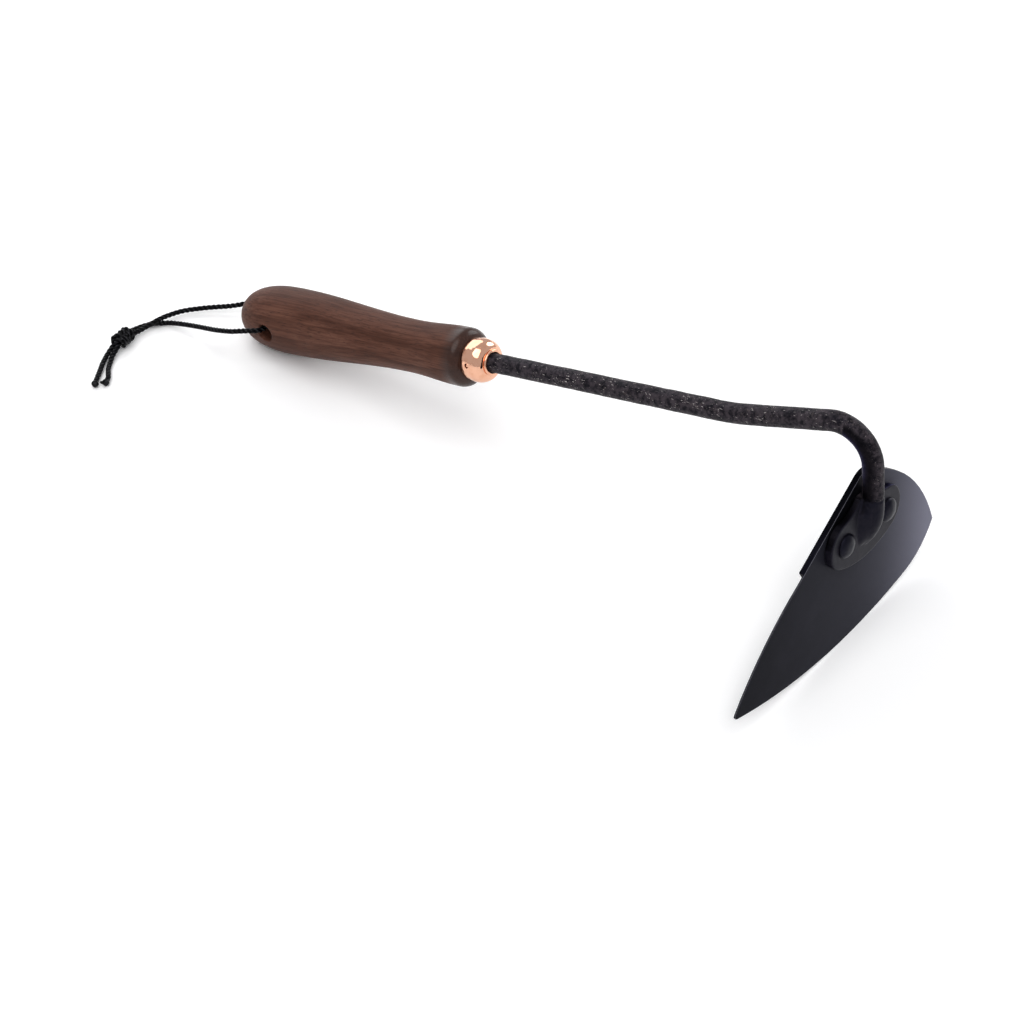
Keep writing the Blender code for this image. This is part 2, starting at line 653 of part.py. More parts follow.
def main():
    clear_scene()
    parts = make_collection("draw_hoe")
    cutters = make_collection("cutters")
    tool = add_empty("tool_frame", parts)
    points, frame = shank_path()
    blade_frame = add_empty("blade_frame", parts, tool, frame)
    handle = build_handle(parts, cutters, tool)
    build_ferrule(parts, cutters, tool, handle)
    shank = build_shank(parts, cutters, tool, points, blade_frame)
    blade = build_blade(parts, cutters, blade_frame)
    build_rivets(parts, cutters, blade_frame, shank, blade)
    lay_down(tool, parts, handle, blade)
    build_lanyard(parts, tool)


main()
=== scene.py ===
"""Looks of a draw hoe: walnut handle, copper ferrule, forged shank, riveted blade and cord lanyard.

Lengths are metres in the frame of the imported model: the tool lies on the ground at Z = 0 with its
handle along +X and the point of its blade towards -Y.
"""
import json
import logging
import math
from dataclasses import dataclass, field
from enum import Enum
from typing import Any, Callable, Sequence, Union

import bmesh
import bpy
import numpy as np
from mathutils import Matrix, Vector, noise

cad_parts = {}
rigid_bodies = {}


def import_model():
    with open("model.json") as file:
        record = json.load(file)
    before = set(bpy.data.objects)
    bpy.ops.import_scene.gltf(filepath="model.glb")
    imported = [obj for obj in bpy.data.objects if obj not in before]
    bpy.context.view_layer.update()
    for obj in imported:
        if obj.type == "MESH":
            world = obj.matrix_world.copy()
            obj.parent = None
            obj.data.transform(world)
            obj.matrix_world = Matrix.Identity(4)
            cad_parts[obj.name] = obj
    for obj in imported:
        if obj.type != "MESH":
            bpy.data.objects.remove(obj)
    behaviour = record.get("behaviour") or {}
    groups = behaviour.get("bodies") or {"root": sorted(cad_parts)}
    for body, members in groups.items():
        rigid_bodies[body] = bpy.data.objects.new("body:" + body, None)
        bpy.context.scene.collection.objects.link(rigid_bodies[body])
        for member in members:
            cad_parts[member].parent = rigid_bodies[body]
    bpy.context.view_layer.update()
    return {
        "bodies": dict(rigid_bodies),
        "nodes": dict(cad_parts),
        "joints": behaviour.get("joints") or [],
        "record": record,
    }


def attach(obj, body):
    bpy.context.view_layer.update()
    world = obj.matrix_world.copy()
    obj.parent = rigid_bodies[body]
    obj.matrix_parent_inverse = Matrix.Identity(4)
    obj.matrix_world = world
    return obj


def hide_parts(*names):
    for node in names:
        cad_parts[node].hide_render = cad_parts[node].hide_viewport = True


LOG = logging.getLogger("draw_hoe")
BODY = "root"
BLADE_LEAN = math.radians(7.0)
CREASE_ANGLE = math.radians(40)
NO_CREASES = math.radians(180)
FLAT_ANGLE = math.radians(0.4)
WELD = 0.000002
SAME_SPOT = 1e-6
ROUTE_UNITS = 10000  # A cord's route counts in tenths of a millimetre.

Colour = tuple[float, float, float, float]
Pair = tuple[float, float]
Point = tuple[float, float, float]
Profile = list[Pair]
Piece = bpy.types.Object
Material = bpy.types.Material
Cage = bmesh.types.BMesh
Number = Union["Signal", float]


class Slot(Enum):
    """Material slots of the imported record."""

    WALNUT = "walnut"
    COPPER = "copper"
    SCALE = "black_scale"
    PAINT = "black_paint"
    RIVET = "black_rivet"
    CORD = "black_cord"


class Strand(Enum):
    """The four lengths of cord in the lanyard, by the node each one stands for."""

    NEAR_LEG = "lanyard_near_leg"
    FAR_LEG = "lanyard_far_leg"
    LONG_TAIL = "lanyard_tail_long"
    SHORT_TAIL = "lanyard_tail_short"


class LampUse(Enum):
    """What a lamp does: light everything, only show in polished pieces, or only fill shadows."""

    KEY = "key"
    SHINE = "shine"
    FILL = "fill"


class CordEnd(Enum):
    """How a length of cord ends."""

    KNOTTED = "knot"
    MELTED = "bare"


def swatch(*levels: int) -> Colour:
    """Turn a colour in screen values into linear light.

    Args:
        levels: Red, green and blue, from 0 to 255.

    Returns:
        The linear colour with full alpha.
    """
    shares = [level / 255.0 for level in levels]
    linear = [low / 12.92 if low <= 0.04045 else ((low + 0.055) / 1.055) ** 2.4 for low in shares]
    return (*linear, 1.0)


def operation(name: str, reflected: bool = False) -> Callable[..., "Signal"]:
    """Make the method that puts a signal through a Math node.

    Args:
        name: The node's operation.
        reflected: Whether the signal is the second value.

    Returns:
        The method, which takes the other value, if there is one, and returns the result.
    """
    def method(self: "Signal", other: Number = 0.0) -> "Signal":
        """Return the result of the operation."""
        first, second = (other, self) if reflected else (self, other)
        return self.graph.node("ShaderNodeMath", {"operation": name}, {0: first, 1: second})
    return method


class Signal:
    """A shader socket that takes part in Python arithmetic."""

    def __init__(self, graph: "Graph", socket: bpy.types.NodeSocket) -> None:
        """Wrap a socket of a graph."""
        self.graph = graph
        self.socket = socket

    __add__ = __radd__ = operation("ADD")
    __sub__, __rsub__ = operation("SUBTRACT"), operation("SUBTRACT", reflected=True)
    __mul__ = __rmul__ = operation("MULTIPLY")
    __truediv__, __rtruediv__ = operation("DIVIDE"), operation("DIVIDE", reflected=True)
    __pow__, __rpow__ = operation("POWER"), operation("POWER", reflected=True)
    most = operation("MAXIMUM")
    part = operation("FRACT")

    def step(self, low: float, high: float) -> "Signal":
        """Rise smoothly from 0 at low to 1 at high."""
        settings = {"interpolation_type": "SMOOTHSTEP"}
        return self.graph.node("ShaderNodeMapRange", settings,
                               {"Value": self, "From Min": low, "From Max": high})


class Graph:
    """A node tree that is filled from expressions."""

    def __init__(self, tree: bpy.types.NodeTree) -> None:
        """Take the tree to fill."""
        self.tree = tree

    def node(self, kind: str, settings: dict[str, Any], sockets: dict[Any, Any],
             output: Union[int, str] = 0) -> Signal:
        """Add any node.

        Args:
            kind: The node's type name.
            settings: Its settings, which are set first.
            sockets: Values or links of its inputs, by name or place.
            output: The output to return.

        Returns:
            The chosen output.
        """
        item = self.tree.nodes.new(kind)
        for key, value in settings.items():
            setattr(item, key, value)
        for key, value in sockets.items():
            self.feed(item.inputs[key], value)
        return Signal(self, item.outputs[output])

    def feed(self, socket: bpy.types.NodeSocket, value: Any) -> None:
        """Link a signal to a socket, or set it to a plain value."""
        if isinstance(value, Signal):
            self.tree.links.new(value.socket, socket)
        else:
            socket.default_value = value

    def where(self, kind: str = "Object") -> Signal:
        """Return the place on the piece, or another of its own coordinates."""
        return self.node("ShaderNodeTexCoord", {}, {}, kind)

    def axes(self, vector: Signal) -> list[Signal]:
        """Return the X, Y and Z of a vector."""
        split = self.node("ShaderNodeSeparateXYZ", {}, {0: vector}).socket.node
        return [Signal(self, output) for output in split.outputs]

    def vector(self, name: str, first: Signal, second: Point) -> Signal:
        """Put two vectors through a Vector Math node."""
        return self.node("ShaderNodeVectorMath", {"operation": name}, {0: first, 1: second})

    def blend(self, factor: Number, first: Union[Signal, Colour],
              second: Union[Signal, Colour]) -> Signal:
        """Mix two colours, through the places of the node's colour sockets."""
        return self.node("ShaderNodeMix", {"data_type": "RGBA"},
                         {0: factor, 6: first, 7: second}, 2)

    def layers(self, ground: Union[Signal, Colour], *coats: tuple[Number, Colour]) -> Signal:
        """Lay colours over a ground in order, each by its own share."""
        for share, colour in coats:
            ground = self.blend(share, ground, colour)
        return ground

    def rays(self, *kinds: str) -> Signal:
        """Return 1 for a ray of any of these kinds, as Light Path names them."""
        seen, *others = [self.node("ShaderNodeLightPath", {}, {}, kind) for kind in kinds]
        for other in others:
            seen = seen.most(other)
        return seen

    def bump(self, height: Signal, depth: float, strength: float = 0.6) -> Signal:
        """Turn a height from 0 to 1 into a normal, at a real depth."""
        return self.node("ShaderNodeBump", {},
                         {"Height": height, "Distance": depth, "Strength": strength})


class Coat(Graph):
    """A new material with one Principled shader."""

    def __init__(self, name: str) -> None:
        """Make the material."""
        self.material = bpy.data.materials.new(name)
        self.material.use_nodes = True
        super().__init__(self.material.node_tree)
        self.shader = self.tree.nodes["Principled BSDF"]

    def set(self, **sockets: Union[Signal, float, Colour]) -> Material:
        """Set or link the shader's sockets.

        Args:
            sockets: Values or links by socket name, with spaces written as underscores.

        Returns:
            The finished material.
        """
        for name, value in sockets.items():
            self.feed(self.shader.inputs[name.replace("_", " ")], value)
        return self.material


@dataclass(frozen=True)
class Noise:
    """Soft noise from 0 to 1 over a piece, and the range in which its marks stand out."""

    scale: Union[float, Point]
    detail: float
    roughness: float = 0.5
    marks: Union[Pair, None] = None

    def over(self, coat: Coat) -> Signal:
        """Add the noise to a material, and return it with its marks stepped from 0 to 1."""
        place, scale = coat.where(), self.scale
        if isinstance(scale, tuple):
            place, scale = coat.vector("MULTIPLY", place, scale), 1.0
        value = coat.node("ShaderNodeTexNoise", {},
                          {"Vector": place, "Scale": scale, "Detail": self.detail,
                           "Roughness": self.roughness})
        return value.step(*self.marks) if self.marks else value


@dataclass(frozen=True)
class WalnutFinish:
    """Oiled dark walnut with long grain along X, open pores and a polished dark front shoulder."""

    pale: Colour = swatch(111, 75, 62)
    heart: Colour = swatch(89, 55, 43)
    dark: Colour = swatch(53, 29, 21)
    pore: Colour = swatch(38, 23, 19)
    sway: Noise = Noise((11.0, 26.0, 26.0), 3.0)
    patch: Noise = Noise((20.0, 75.0, 75.0), 2.0, marks=(0.30, 0.72))
    streak: Noise = Noise((9.0, 560.0, 560.0), 3.0, marks=(0.52, 0.66))
    streak_share: float = 0.34
    fibre: Noise = Noise((20.0, 1250.0, 1250.0), 4.0, 0.65)
    fibre_marks: Pair = (0.36, 0.70)
    fibre_share: float = 0.62
    fibre_dullness: float = 0.14
    pores: Noise = Noise((170.0, 2500.0, 2500.0), 1.0, marks=(0.60, 0.70))
    pore_share: float = 0.55
    pore_depth: float = 0.00012
    # How high fibres, the wood between pores and late wood stand.
    heights: Point = (0.6, 0.6, 0.2)
    pith: Point = (0.0, 0.014, 0.041)
    ring_spacing: float = 0.0098
    ring_sway: float = 1.5
    late_wood: Pair = (0.45, 0.95)
    ring_share: float = 0.38
    line_slope: Pair = (0.72, 0.69)
    line_sway: float = 0.012
    line_width: float = 0.0034
    line_start: Pair = (0.03, 0.07)
    line_share: float = 0.55
    shoulder: Pair = (0.1465, 0.1555)
    shoulder_share: float = 0.70
    shoulder_gloss: float = 0.12
    roughness: float = 0.42
    specular: float = 0.08
    polish: float = 0.55
    polish_roughness: float = 0.17
    polish_index: float = 1.34

    def material(self) -> Material:
        """Build the wood and return it."""
        coat = Coat("walnut_grain")
        along, aside, up = coat.axes(coat.where())
        sway, fibre, pores = [kind.over(coat) for kind in (self.sway, self.fibre, self.pores)]
        _, from_side, from_top = coat.axes(coat.vector("ADD", coat.where(), self.pith))
        across = (from_side ** 2.0 + from_top ** 2.0) ** 0.5
        ring = (across / self.ring_spacing + sway * self.ring_sway).part()
        late = ring.step(*self.late_wood) * (1.0 - ring.step(self.late_wood[1], 1.0))
        rise = aside * self.line_slope[0] + up * self.line_slope[1]
        rise = rise + (sway - 0.5) * self.line_sway
        line = rise.step(-self.line_width, 0.0) * (1.0 - rise.step(0.0, self.line_width))
        shoulder = along.step(*self.shoulder)
        colour = coat.layers(
            coat.blend(self.patch.over(coat), self.heart, self.pale),
            (late * self.ring_share, self.dark),
            (self.streak.over(coat) * self.streak_share, self.dark),
            (fibre.step(*self.fibre_marks) * self.fibre_share, self.dark),
            (line * along.step(*self.line_start) * self.line_share, self.dark),
            (pores * self.pore_share, self.pore),
            (shoulder * self.shoulder_share, self.pore))
        on_fibre, off_pores, on_late = self.heights
        grain = fibre * on_fibre + (1.0 - pores) * off_pores + late * on_late
        dullness = self.roughness + fibre * self.fibre_dullness - shoulder * self.shoulder_gloss
        return coat.set(Base_Color=colour, Roughness=dullness,
                        Specular_IOR_Level=self.specular, Coat_Weight=shoulder * self.polish,
                        Coat_Roughness=self.polish_roughness, Coat_IOR=self.polish_index,
                        Normal=coat.bump(grain, self.pore_depth))


@dataclass(frozen=True)
class CopperFinish:
    """Polished copper with faint turning lines and handling marks."""

    copper: Colour = swatch(233, 180, 151)
    tarnish: Colour = swatch(214, 148, 116)
    smear: Noise = Noise(210.0, 3.0, marks=(0.45, 0.75))
    smear_share: float = 0.5
    smear_dullness: float = 0.06
    turning: Noise = Noise((5200.0, 60.0, 60.0), 1.0)
    turning_height: float = 0.02
    turning_dullness: float = 0.03
    dents: Noise = Noise(270.0, 2.0)
    dent_depth: float = 0.00028
    dent_strength: float = 0.9
    roughness: float = 0.06

    def material(self) -> Material:
        """Build the metal and return it."""
        coat = Coat("polished_copper")
        smear, turning = self.smear.over(coat), self.turning.over(coat)
        colour = coat.blend(smear * self.smear_share, self.copper, self.tarnish)
        height = self.dents.over(coat) + turning * self.turning_height
        dullness = self.roughness + smear * self.smear_dullness + turning * self.turning_dullness
        return coat.set(Base_Color=colour, Metallic=1.0, Roughness=dullness,
                        Normal=coat.bump(height, self.dent_depth, self.dent_strength))


@dataclass(frozen=True)
class ForgedFinish:
    """Forge scale with chipped flecks on the bar, and smooth satin black on the flattened foot.

    The piece's own coordinates are the blade's: X out of the plate, Z up it. Its crook has painted
    shade.
    """

    scale: Colour = swatch(64, 58, 62)
    # Near black: the dark tone of the scale's mottling, and the painted shade.
    black_tone_and_shade: Colour = swatch(13, 12, 15)
    rust: Colour = swatch(83, 75, 74)
    chip: Colour = swatch(219, 212, 208)
    satin: Colour = swatch(16, 16, 24)
    tint: Colour = (0.70, 0.69, 1.0, 1.0)
    mottle: Noise = Noise(400.0, 4.0, 0.65)
    bar_mottle: Pair = (0.34, 0.68)
    foot_mottle: Pair = (0.30, 0.80)
    foot_mottle_share: float = 0.15
    crust: Noise = Noise(900.0, 3.0, 0.6)
    crust_depth: float = 0.00022
    crust_dullness: float = 0.26
    foot_crust: float = 0.25
    patches: Noise = Noise(95.0, 3.0, marks=(0.46, 0.60))
    stain: Noise = Noise(820.0, 3.0, 0.6, (0.54, 0.70))
    stain_share: float = 0.55
    dashes: Noise = Noise((520.0, 2300.0, 2300.0), 2.0, 0.6, (0.66, 0.71))
    lines: Noise = Noise((300.0, 2600.0, 2600.0), 1.0, marks=(0.715, 0.765))
    line_share: float = 0.6
    specks: Noise = Noise(2100.0, 1.0, marks=(0.71, 0.77))
    speck_share: float = 0.4
    crease: float = 0.0166
    crease_blur: float = 0.0003
    behind: float = -0.0060
    behind_blur: float = 0.001
    # Painted shade: the bar's point side and the foot's upward side wall go near black.
    crook_shade_edge: Pair = (-0.0048, -0.0022)
    shaded_wall_facing_up: Pair = (0.15, 0.45)
    shaded_wall_facing_out: Pair = (0.35, 0.65)
    painted_shade_share: float = 0.9
    painted_shade_metallic: float = 0.95
    bar_roughness: float = 0.36
    foot_roughness: float = 0.40
    specular: float = 0.085

    def material(self) -> Material:
        """Build the steel and return it."""
        coat = Coat("forged_steel")
        outward, aside, up = coat.axes(coat.where())
        facing_out, _, facing_up = coat.axes(coat.where("Normal"))
        above = up.step(self.crease - self.crease_blur, self.crease + self.crease_blur)
        back = 1.0 - outward.step(self.behind - self.behind_blur, self.behind)
        bar = above.most(back)
        mottle, crust, patches = [kind.over(coat)
                                  for kind in (self.mottle, self.crust, self.patches)]
        flecks = patches * self.dashes.over(coat) + self.lines.over(coat) * self.line_share
        specks = self.specks.over(coat) * (1.0 - back) * self.speck_share
        # Painted shade: near black on the bar's point side, and on the foot's upward side wall.
        crook_shade = (1.0 - back) * (1.0 - aside.step(*self.crook_shade_edge))
        wall = facing_up.step(*self.shaded_wall_facing_up)
        wall = wall * (1.0 - facing_out.step(*self.shaded_wall_facing_out)) * (1.0 - bar)
        rough = coat.layers(coat.blend(mottle.step(*self.bar_mottle), self.black_tone_and_shade, self.scale),
                            (self.stain.over(coat) * patches * self.stain_share, self.rust),
                            (back * flecks + specks, self.chip),
                            (crook_shade * self.painted_shade_share, self.black_tone_and_shade))
        blotch = mottle.step(*self.foot_mottle) * self.foot_mottle_share
        smooth = coat.layers(self.satin, (blotch, self.scale), (wall * self.painted_shade_share, self.black_tone_and_shade))
        dullness = self.bar_roughness + crust * self.crust_dullness
        height = crust * (self.foot_crust + bar * (1.0 - self.foot_crust))
        # The painted shade is also made metallic, so it reflects only its near-black colour.
        return coat.set(Base_Color=coat.blend(bar, smooth, rough),
                        Metallic=(crook_shade * above).most(wall) * self.painted_shade_metallic,
                        Specular_IOR_Level=self.specular, Specular_Tint=self.tint,
                        Roughness=self.foot_roughness + bar * (dullness - self.foot_roughness),
                        Normal=coat.bump(height, self.crust_depth))


@dataclass(frozen=True)
class SatinBlackFinish:
    """Satin black paint with faint mottling and fine scuffs, worn along the front arris of a plate.

    A plate's own X runs out of its front face; its lower edge is worn to bare steel.
    It also gets a painted sheen towards the heel and painted shade in the crook beside the bar.
    """

    name: str = "satin_black"
    paint: Colour = swatch(9, 9, 16)
    # Pale tone for the faint mottling, and for the painted sheen towards a plate's heel.
    pale_and_heel_sheen: Colour = swatch(128, 128, 143)
    # Near black for the painted shade in a plate's crook.
    black_tone_and_shade: Colour = swatch(3, 3, 4)
    scuff: Colour = swatch(124, 124, 133)
    bare: Colour = swatch(252, 252, 252)
    tint: Colour = (0.66, 0.66, 1.0, 1.0)
    gloss: float = 0.40
    specular: float = 0.020
    mottle: Noise = Noise(60.0, 4.0, 0.6)
    mottle_marks: Pair = (0.35, 0.75)
    mottle_share: float = 0.02
    mottle_dullness: float = 0.10
    pebble: Noise = Noise(1500.0, 2.0)
    pebble_depth: float = 0.00003
    scratch: Noise = Noise((900.0, 60.0, 900.0), 2.0, marks=(0.70, 0.78))
    scratch_share: float = 0.05
    scratch_dullness: float = 0.05
    worn_arris_and_painted_light: bool = False
    arris_rise: Pair = (0.15, 0.35)
    arris_fall: Pair = (0.92, 0.98)
    arris_share: float = 0.55
    arris_mottle: float = 0.6
    facing_down: Pair = (-0.35, -0.15)
    facing_out: Pair = (0.80, 0.98)
    # Painted sheen over a plate's front face, rising towards the heel.
    heel_sheen_run: Pair = (-0.120, 0.085)
    heel_sheen_share: float = 0.18
    heel_share: float = 1.2
    heel_power: float = 9.0
    # Painted shade in the crook beside the bar: where it rises, where it ends and how strong it is.
    crook_shade_rise: Pair = (0.0045, 0.0120)
    crook_shade_edge: Pair = (-0.0010, 0.0070)
    painted_shade_share: float = 0.9

    def wear_and_painted_light(self, coat: Coat, colour: Signal, mottle: Signal) -> Signal:
        """Wear a plate's paint.

        Args:
            coat: The material to add to.
            colour: The paint so far.
            mottle: The paint's broad mottling, from 0 to 1.

        Returns:
            The paint, with painted sheen at the heel, painted shade in the crook, and bare along
            the arris.
        """
        _, aside, up = coat.axes(coat.where())
        out, _, facing_up = coat.axes(coat.where("Normal"))
        # Painted sheen: the front face lightens towards the heel, in place of reflected light.
        heelward = aside.step(*self.heel_sheen_run)
        heel_sheen = heelward * self.heel_sheen_share + heelward ** self.heel_power * self.heel_share
        # Painted shade: the plate goes near black in the crook beside the bar, where the bar shades
        # it.
        crook_shade = up.step(*self.crook_shade_rise) * (1.0 - aside.step(*self.crook_shade_edge))
        colour = coat.layers(colour, (heel_sheen * out.step(*self.facing_out), self.pale_and_heel_sheen),
                             (crook_shade * self.painted_shade_share, self.black_tone_and_shade))
        arris = out.step(*self.arris_rise) * (1.0 - out.step(*self.arris_fall))
        below = 1.0 - facing_up.step(*self.facing_down)
        return coat.blend(arris * (self.arris_share + mottle * self.arris_mottle), colour,
                          coat.blend(below, self.scuff, self.bare))

    def material(self) -> Material:
        """Build the paint and return it."""
        coat = Coat(self.name)
        mottle, scratch = self.mottle.over(coat), self.scratch.over(coat)
        faint = mottle.step(*self.mottle_marks) * self.mottle_share
        colour = coat.blend(faint, self.paint, self.pale_and_heel_sheen)
        if self.worn_arris_and_painted_light:
            colour = self.wear_and_painted_light(coat, colour, mottle)
        dullness = self.gloss - self.mottle_dullness / 2.0 + mottle * self.mottle_dullness
        return coat.set(Base_Color=coat.blend(scratch * self.scratch_share, colour, self.scuff),
                        Roughness=dullness + scratch * self.scratch_dullness,
                        Specular_IOR_Level=self.specular, Specular_Tint=self.tint,
                        Normal=coat.bump(self.pebble.over(coat), self.pebble_depth))


@dataclass(frozen=True)
class CordFinish:
    """Waxed black cord."""

    wax: Colour = swatch(1, 1, 3)
    # Lighter tone for the strands' crowns: wear, and a painted sheen standing in for their glints.
    crown_wear_and_sheen: Colour = swatch(87, 87, 91)
    specular: float = 0.045
    fuzz: Noise = Noise(2600.0, 2.0)
    fuzz_depth: float = 0.00003
    fuzz_dullness: float = 0.12
    roughness: float = 0.12
    wear_and_painted_light: Noise = Noise(420.0, 3.0, marks=(0.30, 0.70))
    sheen_crown: Pair = (0.52, 0.62)

    def material(self) -> Material:
        """Build the cord's surface and return it."""
        coat = Coat("waxed_cord")
        fuzz = self.fuzz.over(coat)
        # Painted sheen with wear: the strands' crowns are lightened where the wear noise allows.
        sheen_crown = coat.node("ShaderNodeNewGeometry", {}, {}, "Pointiness").step(*self.sheen_crown)
        colour = coat.blend(sheen_crown * self.wear_and_painted_light.over(coat), self.wax, self.crown_wear_and_sheen)
        return coat.set(Base_Color=colour, Specular_IOR_Level=self.specular,
                        Roughness=self.roughness + fuzz * self.fuzz_dullness,
                        Normal=coat.bump(fuzz, self.fuzz_depth))


def place_mesh(cage: Cage, name: str, matrix: Matrix, sharp: float = CREASE_ANGLE) -> Piece:
    """Turn a finished cage into an object.

    Args:
        cage: The mesh, in the piece's own coordinates; it is freed.
        name: The piece's name.
        matrix: The piece's place in the frame.
        sharp: The angle from which an edge is shaded as a crease.

    Returns:
        The new object.
    """
    bmesh.ops.recalc_face_normals(cage, faces=cage.faces)
    mesh = bpy.data.meshes.new(name)
    cage.to_mesh(mesh)
    cage.free()
    mesh.shade_smooth()
    mesh.set_sharp_from_angle(angle=sharp)
    piece = bpy.data.objects.new(name, mesh)
    bpy.context.scene.collection.objects.link(piece)
    piece.matrix_world = matrix
    return piece


def cover(cage: Cage, rows: Sequence[Sequence[Vector]], hollow: bool = False) -> None:
    """Cover a row of rings with faces.

    Args:
        cage: The mesh to add to.
        rows: The rings, with as many points in each; a ring drawn to one spot becomes a point.
        hollow: Whether the last ring joins the first; otherwise both ends are closed.
    """
    sides = len(rows[0])
    loops = []
    for row in rows:
        one_spot = (row[0] - row[sides // 2]).length < SAME_SPOT
        loops.append([cage.verts.new(point) for point in (row[:1] if one_spot else row)])
    for first, second in zip(loops, loops[1:] + loops[:1] if hollow else loops[1:]):
        for i in range(sides):
            j = (i + 1) % sides
            ring = [first[i % len(first)], first[j % len(first)],
                    second[j % len(second)], second[i % len(second)]]
            cage.faces.new(list(dict.fromkeys(ring)))
    for loop in () if hollow else (loops[0], loops[-1]):
        if len(loop) > 2:
            cage.faces.new(loop)


def turned(name: str, profile: Profile, sides: int, matrix: Matrix, hollow: bool = False) -> Piece:
    """Revolve a profile about the piece's own X.

    Args:
        name: The piece's name.
        profile: Points of (along, radius); a radius of 0 closes an end.
        sides: Faces round the axis.
        matrix: The piece's place in the frame.
        hollow: Whether the last point joins the first.

    Returns:
        The new object.
    """
    cage = bmesh.new()
    turns = [math.tau * i / sides for i in range(sides)]
    cover(cage, [[Vector((along, radius * math.cos(turn), radius * math.sin(turn)))
                  for turn in turns] for along, radius in profile], hollow)
    return place_mesh(cage, name, matrix)


def copied(node: Piece, name: str, matrix: Matrix) -> Piece:
    """Copy a solid's mesh, welded and with its flat faces whole, into another frame.

    Args:
        node: The solid to copy.
        name: The new piece's name.
        matrix: The frame that the piece's own coordinates follow.

    Returns:
        The new object, in the same place as the solid.
    """
    cage = bmesh.new()
    cage.from_mesh(node.data)
    bmesh.ops.transform(cage, matrix=matrix.inverted(), verts=cage.verts)
    bmesh.ops.remove_doubles(cage, verts=cage.verts, dist=WELD)
    bmesh.ops.dissolve_limit(cage, angle_limit=FLAT_ANGLE, verts=cage.verts, edges=cage.edges)
    return place_mesh(cage, name, matrix)


def settle(piece: Piece) -> None:
    """Apply a piece's modifiers to its mesh."""
    bpy.context.view_layer.update()
    graph = bpy.context.evaluated_depsgraph_get()
    mesh = bpy.data.meshes.new_from_object(piece.evaluated_get(graph))
    piece.modifiers.clear()
    piece.data = mesh


def carve(piece: Piece, cutter: Piece) -> None:
    """Cut one shape out of a piece and remove the cutter."""
    cut = piece.modifiers.new("Cut", "BOOLEAN")
    cut.object = cutter
    settle(piece)
    bpy.data.objects.remove(cutter)
    piece.data.shade_smooth()
    piece.data.set_sharp_from_angle(angle=CREASE_ANGLE)


def press(piece: Piece, lift: Callable[[Vector], float]) -> None:
    """Move each point of a piece along its normal.

    Args:
        piece: The piece to work.
        lift: Gives the distance to move for a place in the piece's own coordinates.
    """
    mesh = piece.data
    moved = [vertex.co + vertex.normal * lift(vertex.co) for vertex in mesh.vertices]
    mesh.vertices.foreach_set("co", np.array(moved, dtype=np.float32).ravel())
    mesh.update()


def dress(piece: Piece, coat: Material, slot: Slot, *nodes: str) -> Piece:
    """Give a piece its finish, and put it on the tool in place of its solids.

    Args:
        piece: The finished piece.
        coat: Its material.
        slot: The record's slot for that material; not used.
        nodes: The solids that it stands for.

    Returns:
        The same piece.
    """
    piece.data.materials.clear()
    piece.data.materials.append(coat)
    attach(piece, BODY)
    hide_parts(*nodes)
    return piece


def ease(start: float, end: float, amount: float) -> float:
    """Blend from start to end with a level run-in and run-out."""
    return start + (end - start) * (1.0 - math.cos(math.pi * amount)) / 2.0


def round_corner(centre: Pair, radius: float, first: float, last: float, count: int) -> Profile:
    """Points on an arc of a profile.

    Args:
        centre: The arc's centre, as (along, radius).
        radius: The arc's radius.
        first: The first angle in degrees, from along the axis towards outwards.
        last: The last angle in degrees.
        count: How many steps the arc has.

    Returns:
        The points, both ends included.
    """
    angles = [math.radians(first + (last - first) * i / count) for i in range(count + 1)]
    return [(centre[0] + radius * math.cos(a), centre[1] + radius * math.sin(a)) for a in angles]


@dataclass(frozen=True)
class Frames:
    """Where the tool and its blade lie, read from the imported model.

    The tool's X runs from the butt along the handle. The blade's origin is midway between its
    rivets on the outer face, with X out of the plate, Y towards the heel and Z up the plate.
    """

    tool: Matrix
    blade: Matrix
    rivet_spacing: float
    nodes: dict[str, Piece]

    @classmethod
    def read(cls, frame: dict[str, Any]) -> "Frames":
        """Work the frames out from the solids.

        Args:
            frame: The loaded frame.

        Returns:
            The frames; the plate leans out by BLADE_LEAN from square to the handle.
        """
        mount = frame["record"]["mounts"][0]
        outward = Vector(mount["axis"]).normalized()
        point_side = cls._centre(frame, "rivet_point_side")
        heel_side = cls._centre(frame, "rivet_heel_side")
        across = (heel_side - point_side).normalized()
        middle = (point_side + heel_side) / 2.0
        origin = middle + outward * outward.dot(Vector(mount["pos_m"]) - middle)
        blade = cls._matrix(outward, across, origin)
        along = Matrix.Rotation(-BLADE_LEAN, 3, across) @ outward
        up = along.cross(across)
        points = np.array([vertex.co for vertex in frame["nodes"]["handle"].data.vertices])
        butt = along * float((points @ np.array(along)).min())
        for axis in (across, up):
            span = points @ np.array(axis)
            butt += axis * float(span.min() + span.max()) / 2.0
        return cls(cls._matrix(along, across, butt), blade, (heel_side - point_side).length,
                   frame["nodes"])

    @staticmethod
    def _centre(frame: dict[str, Any], node: str) -> Vector:
        """Return the mean of a turned solid's points, which lies on its axis."""
        points = [vertex.co for vertex in frame["nodes"][node].data.vertices]
        return sum(points, Vector()) / len(points)

    @staticmethod
    def _matrix(x: Vector, y: Vector, origin: Vector) -> Matrix:
        """Return the frame with these axes and this origin."""
        z = x.cross(y)
        return Matrix.Translation(origin) @ Matrix((x, y, z)).transposed().to_4x4()


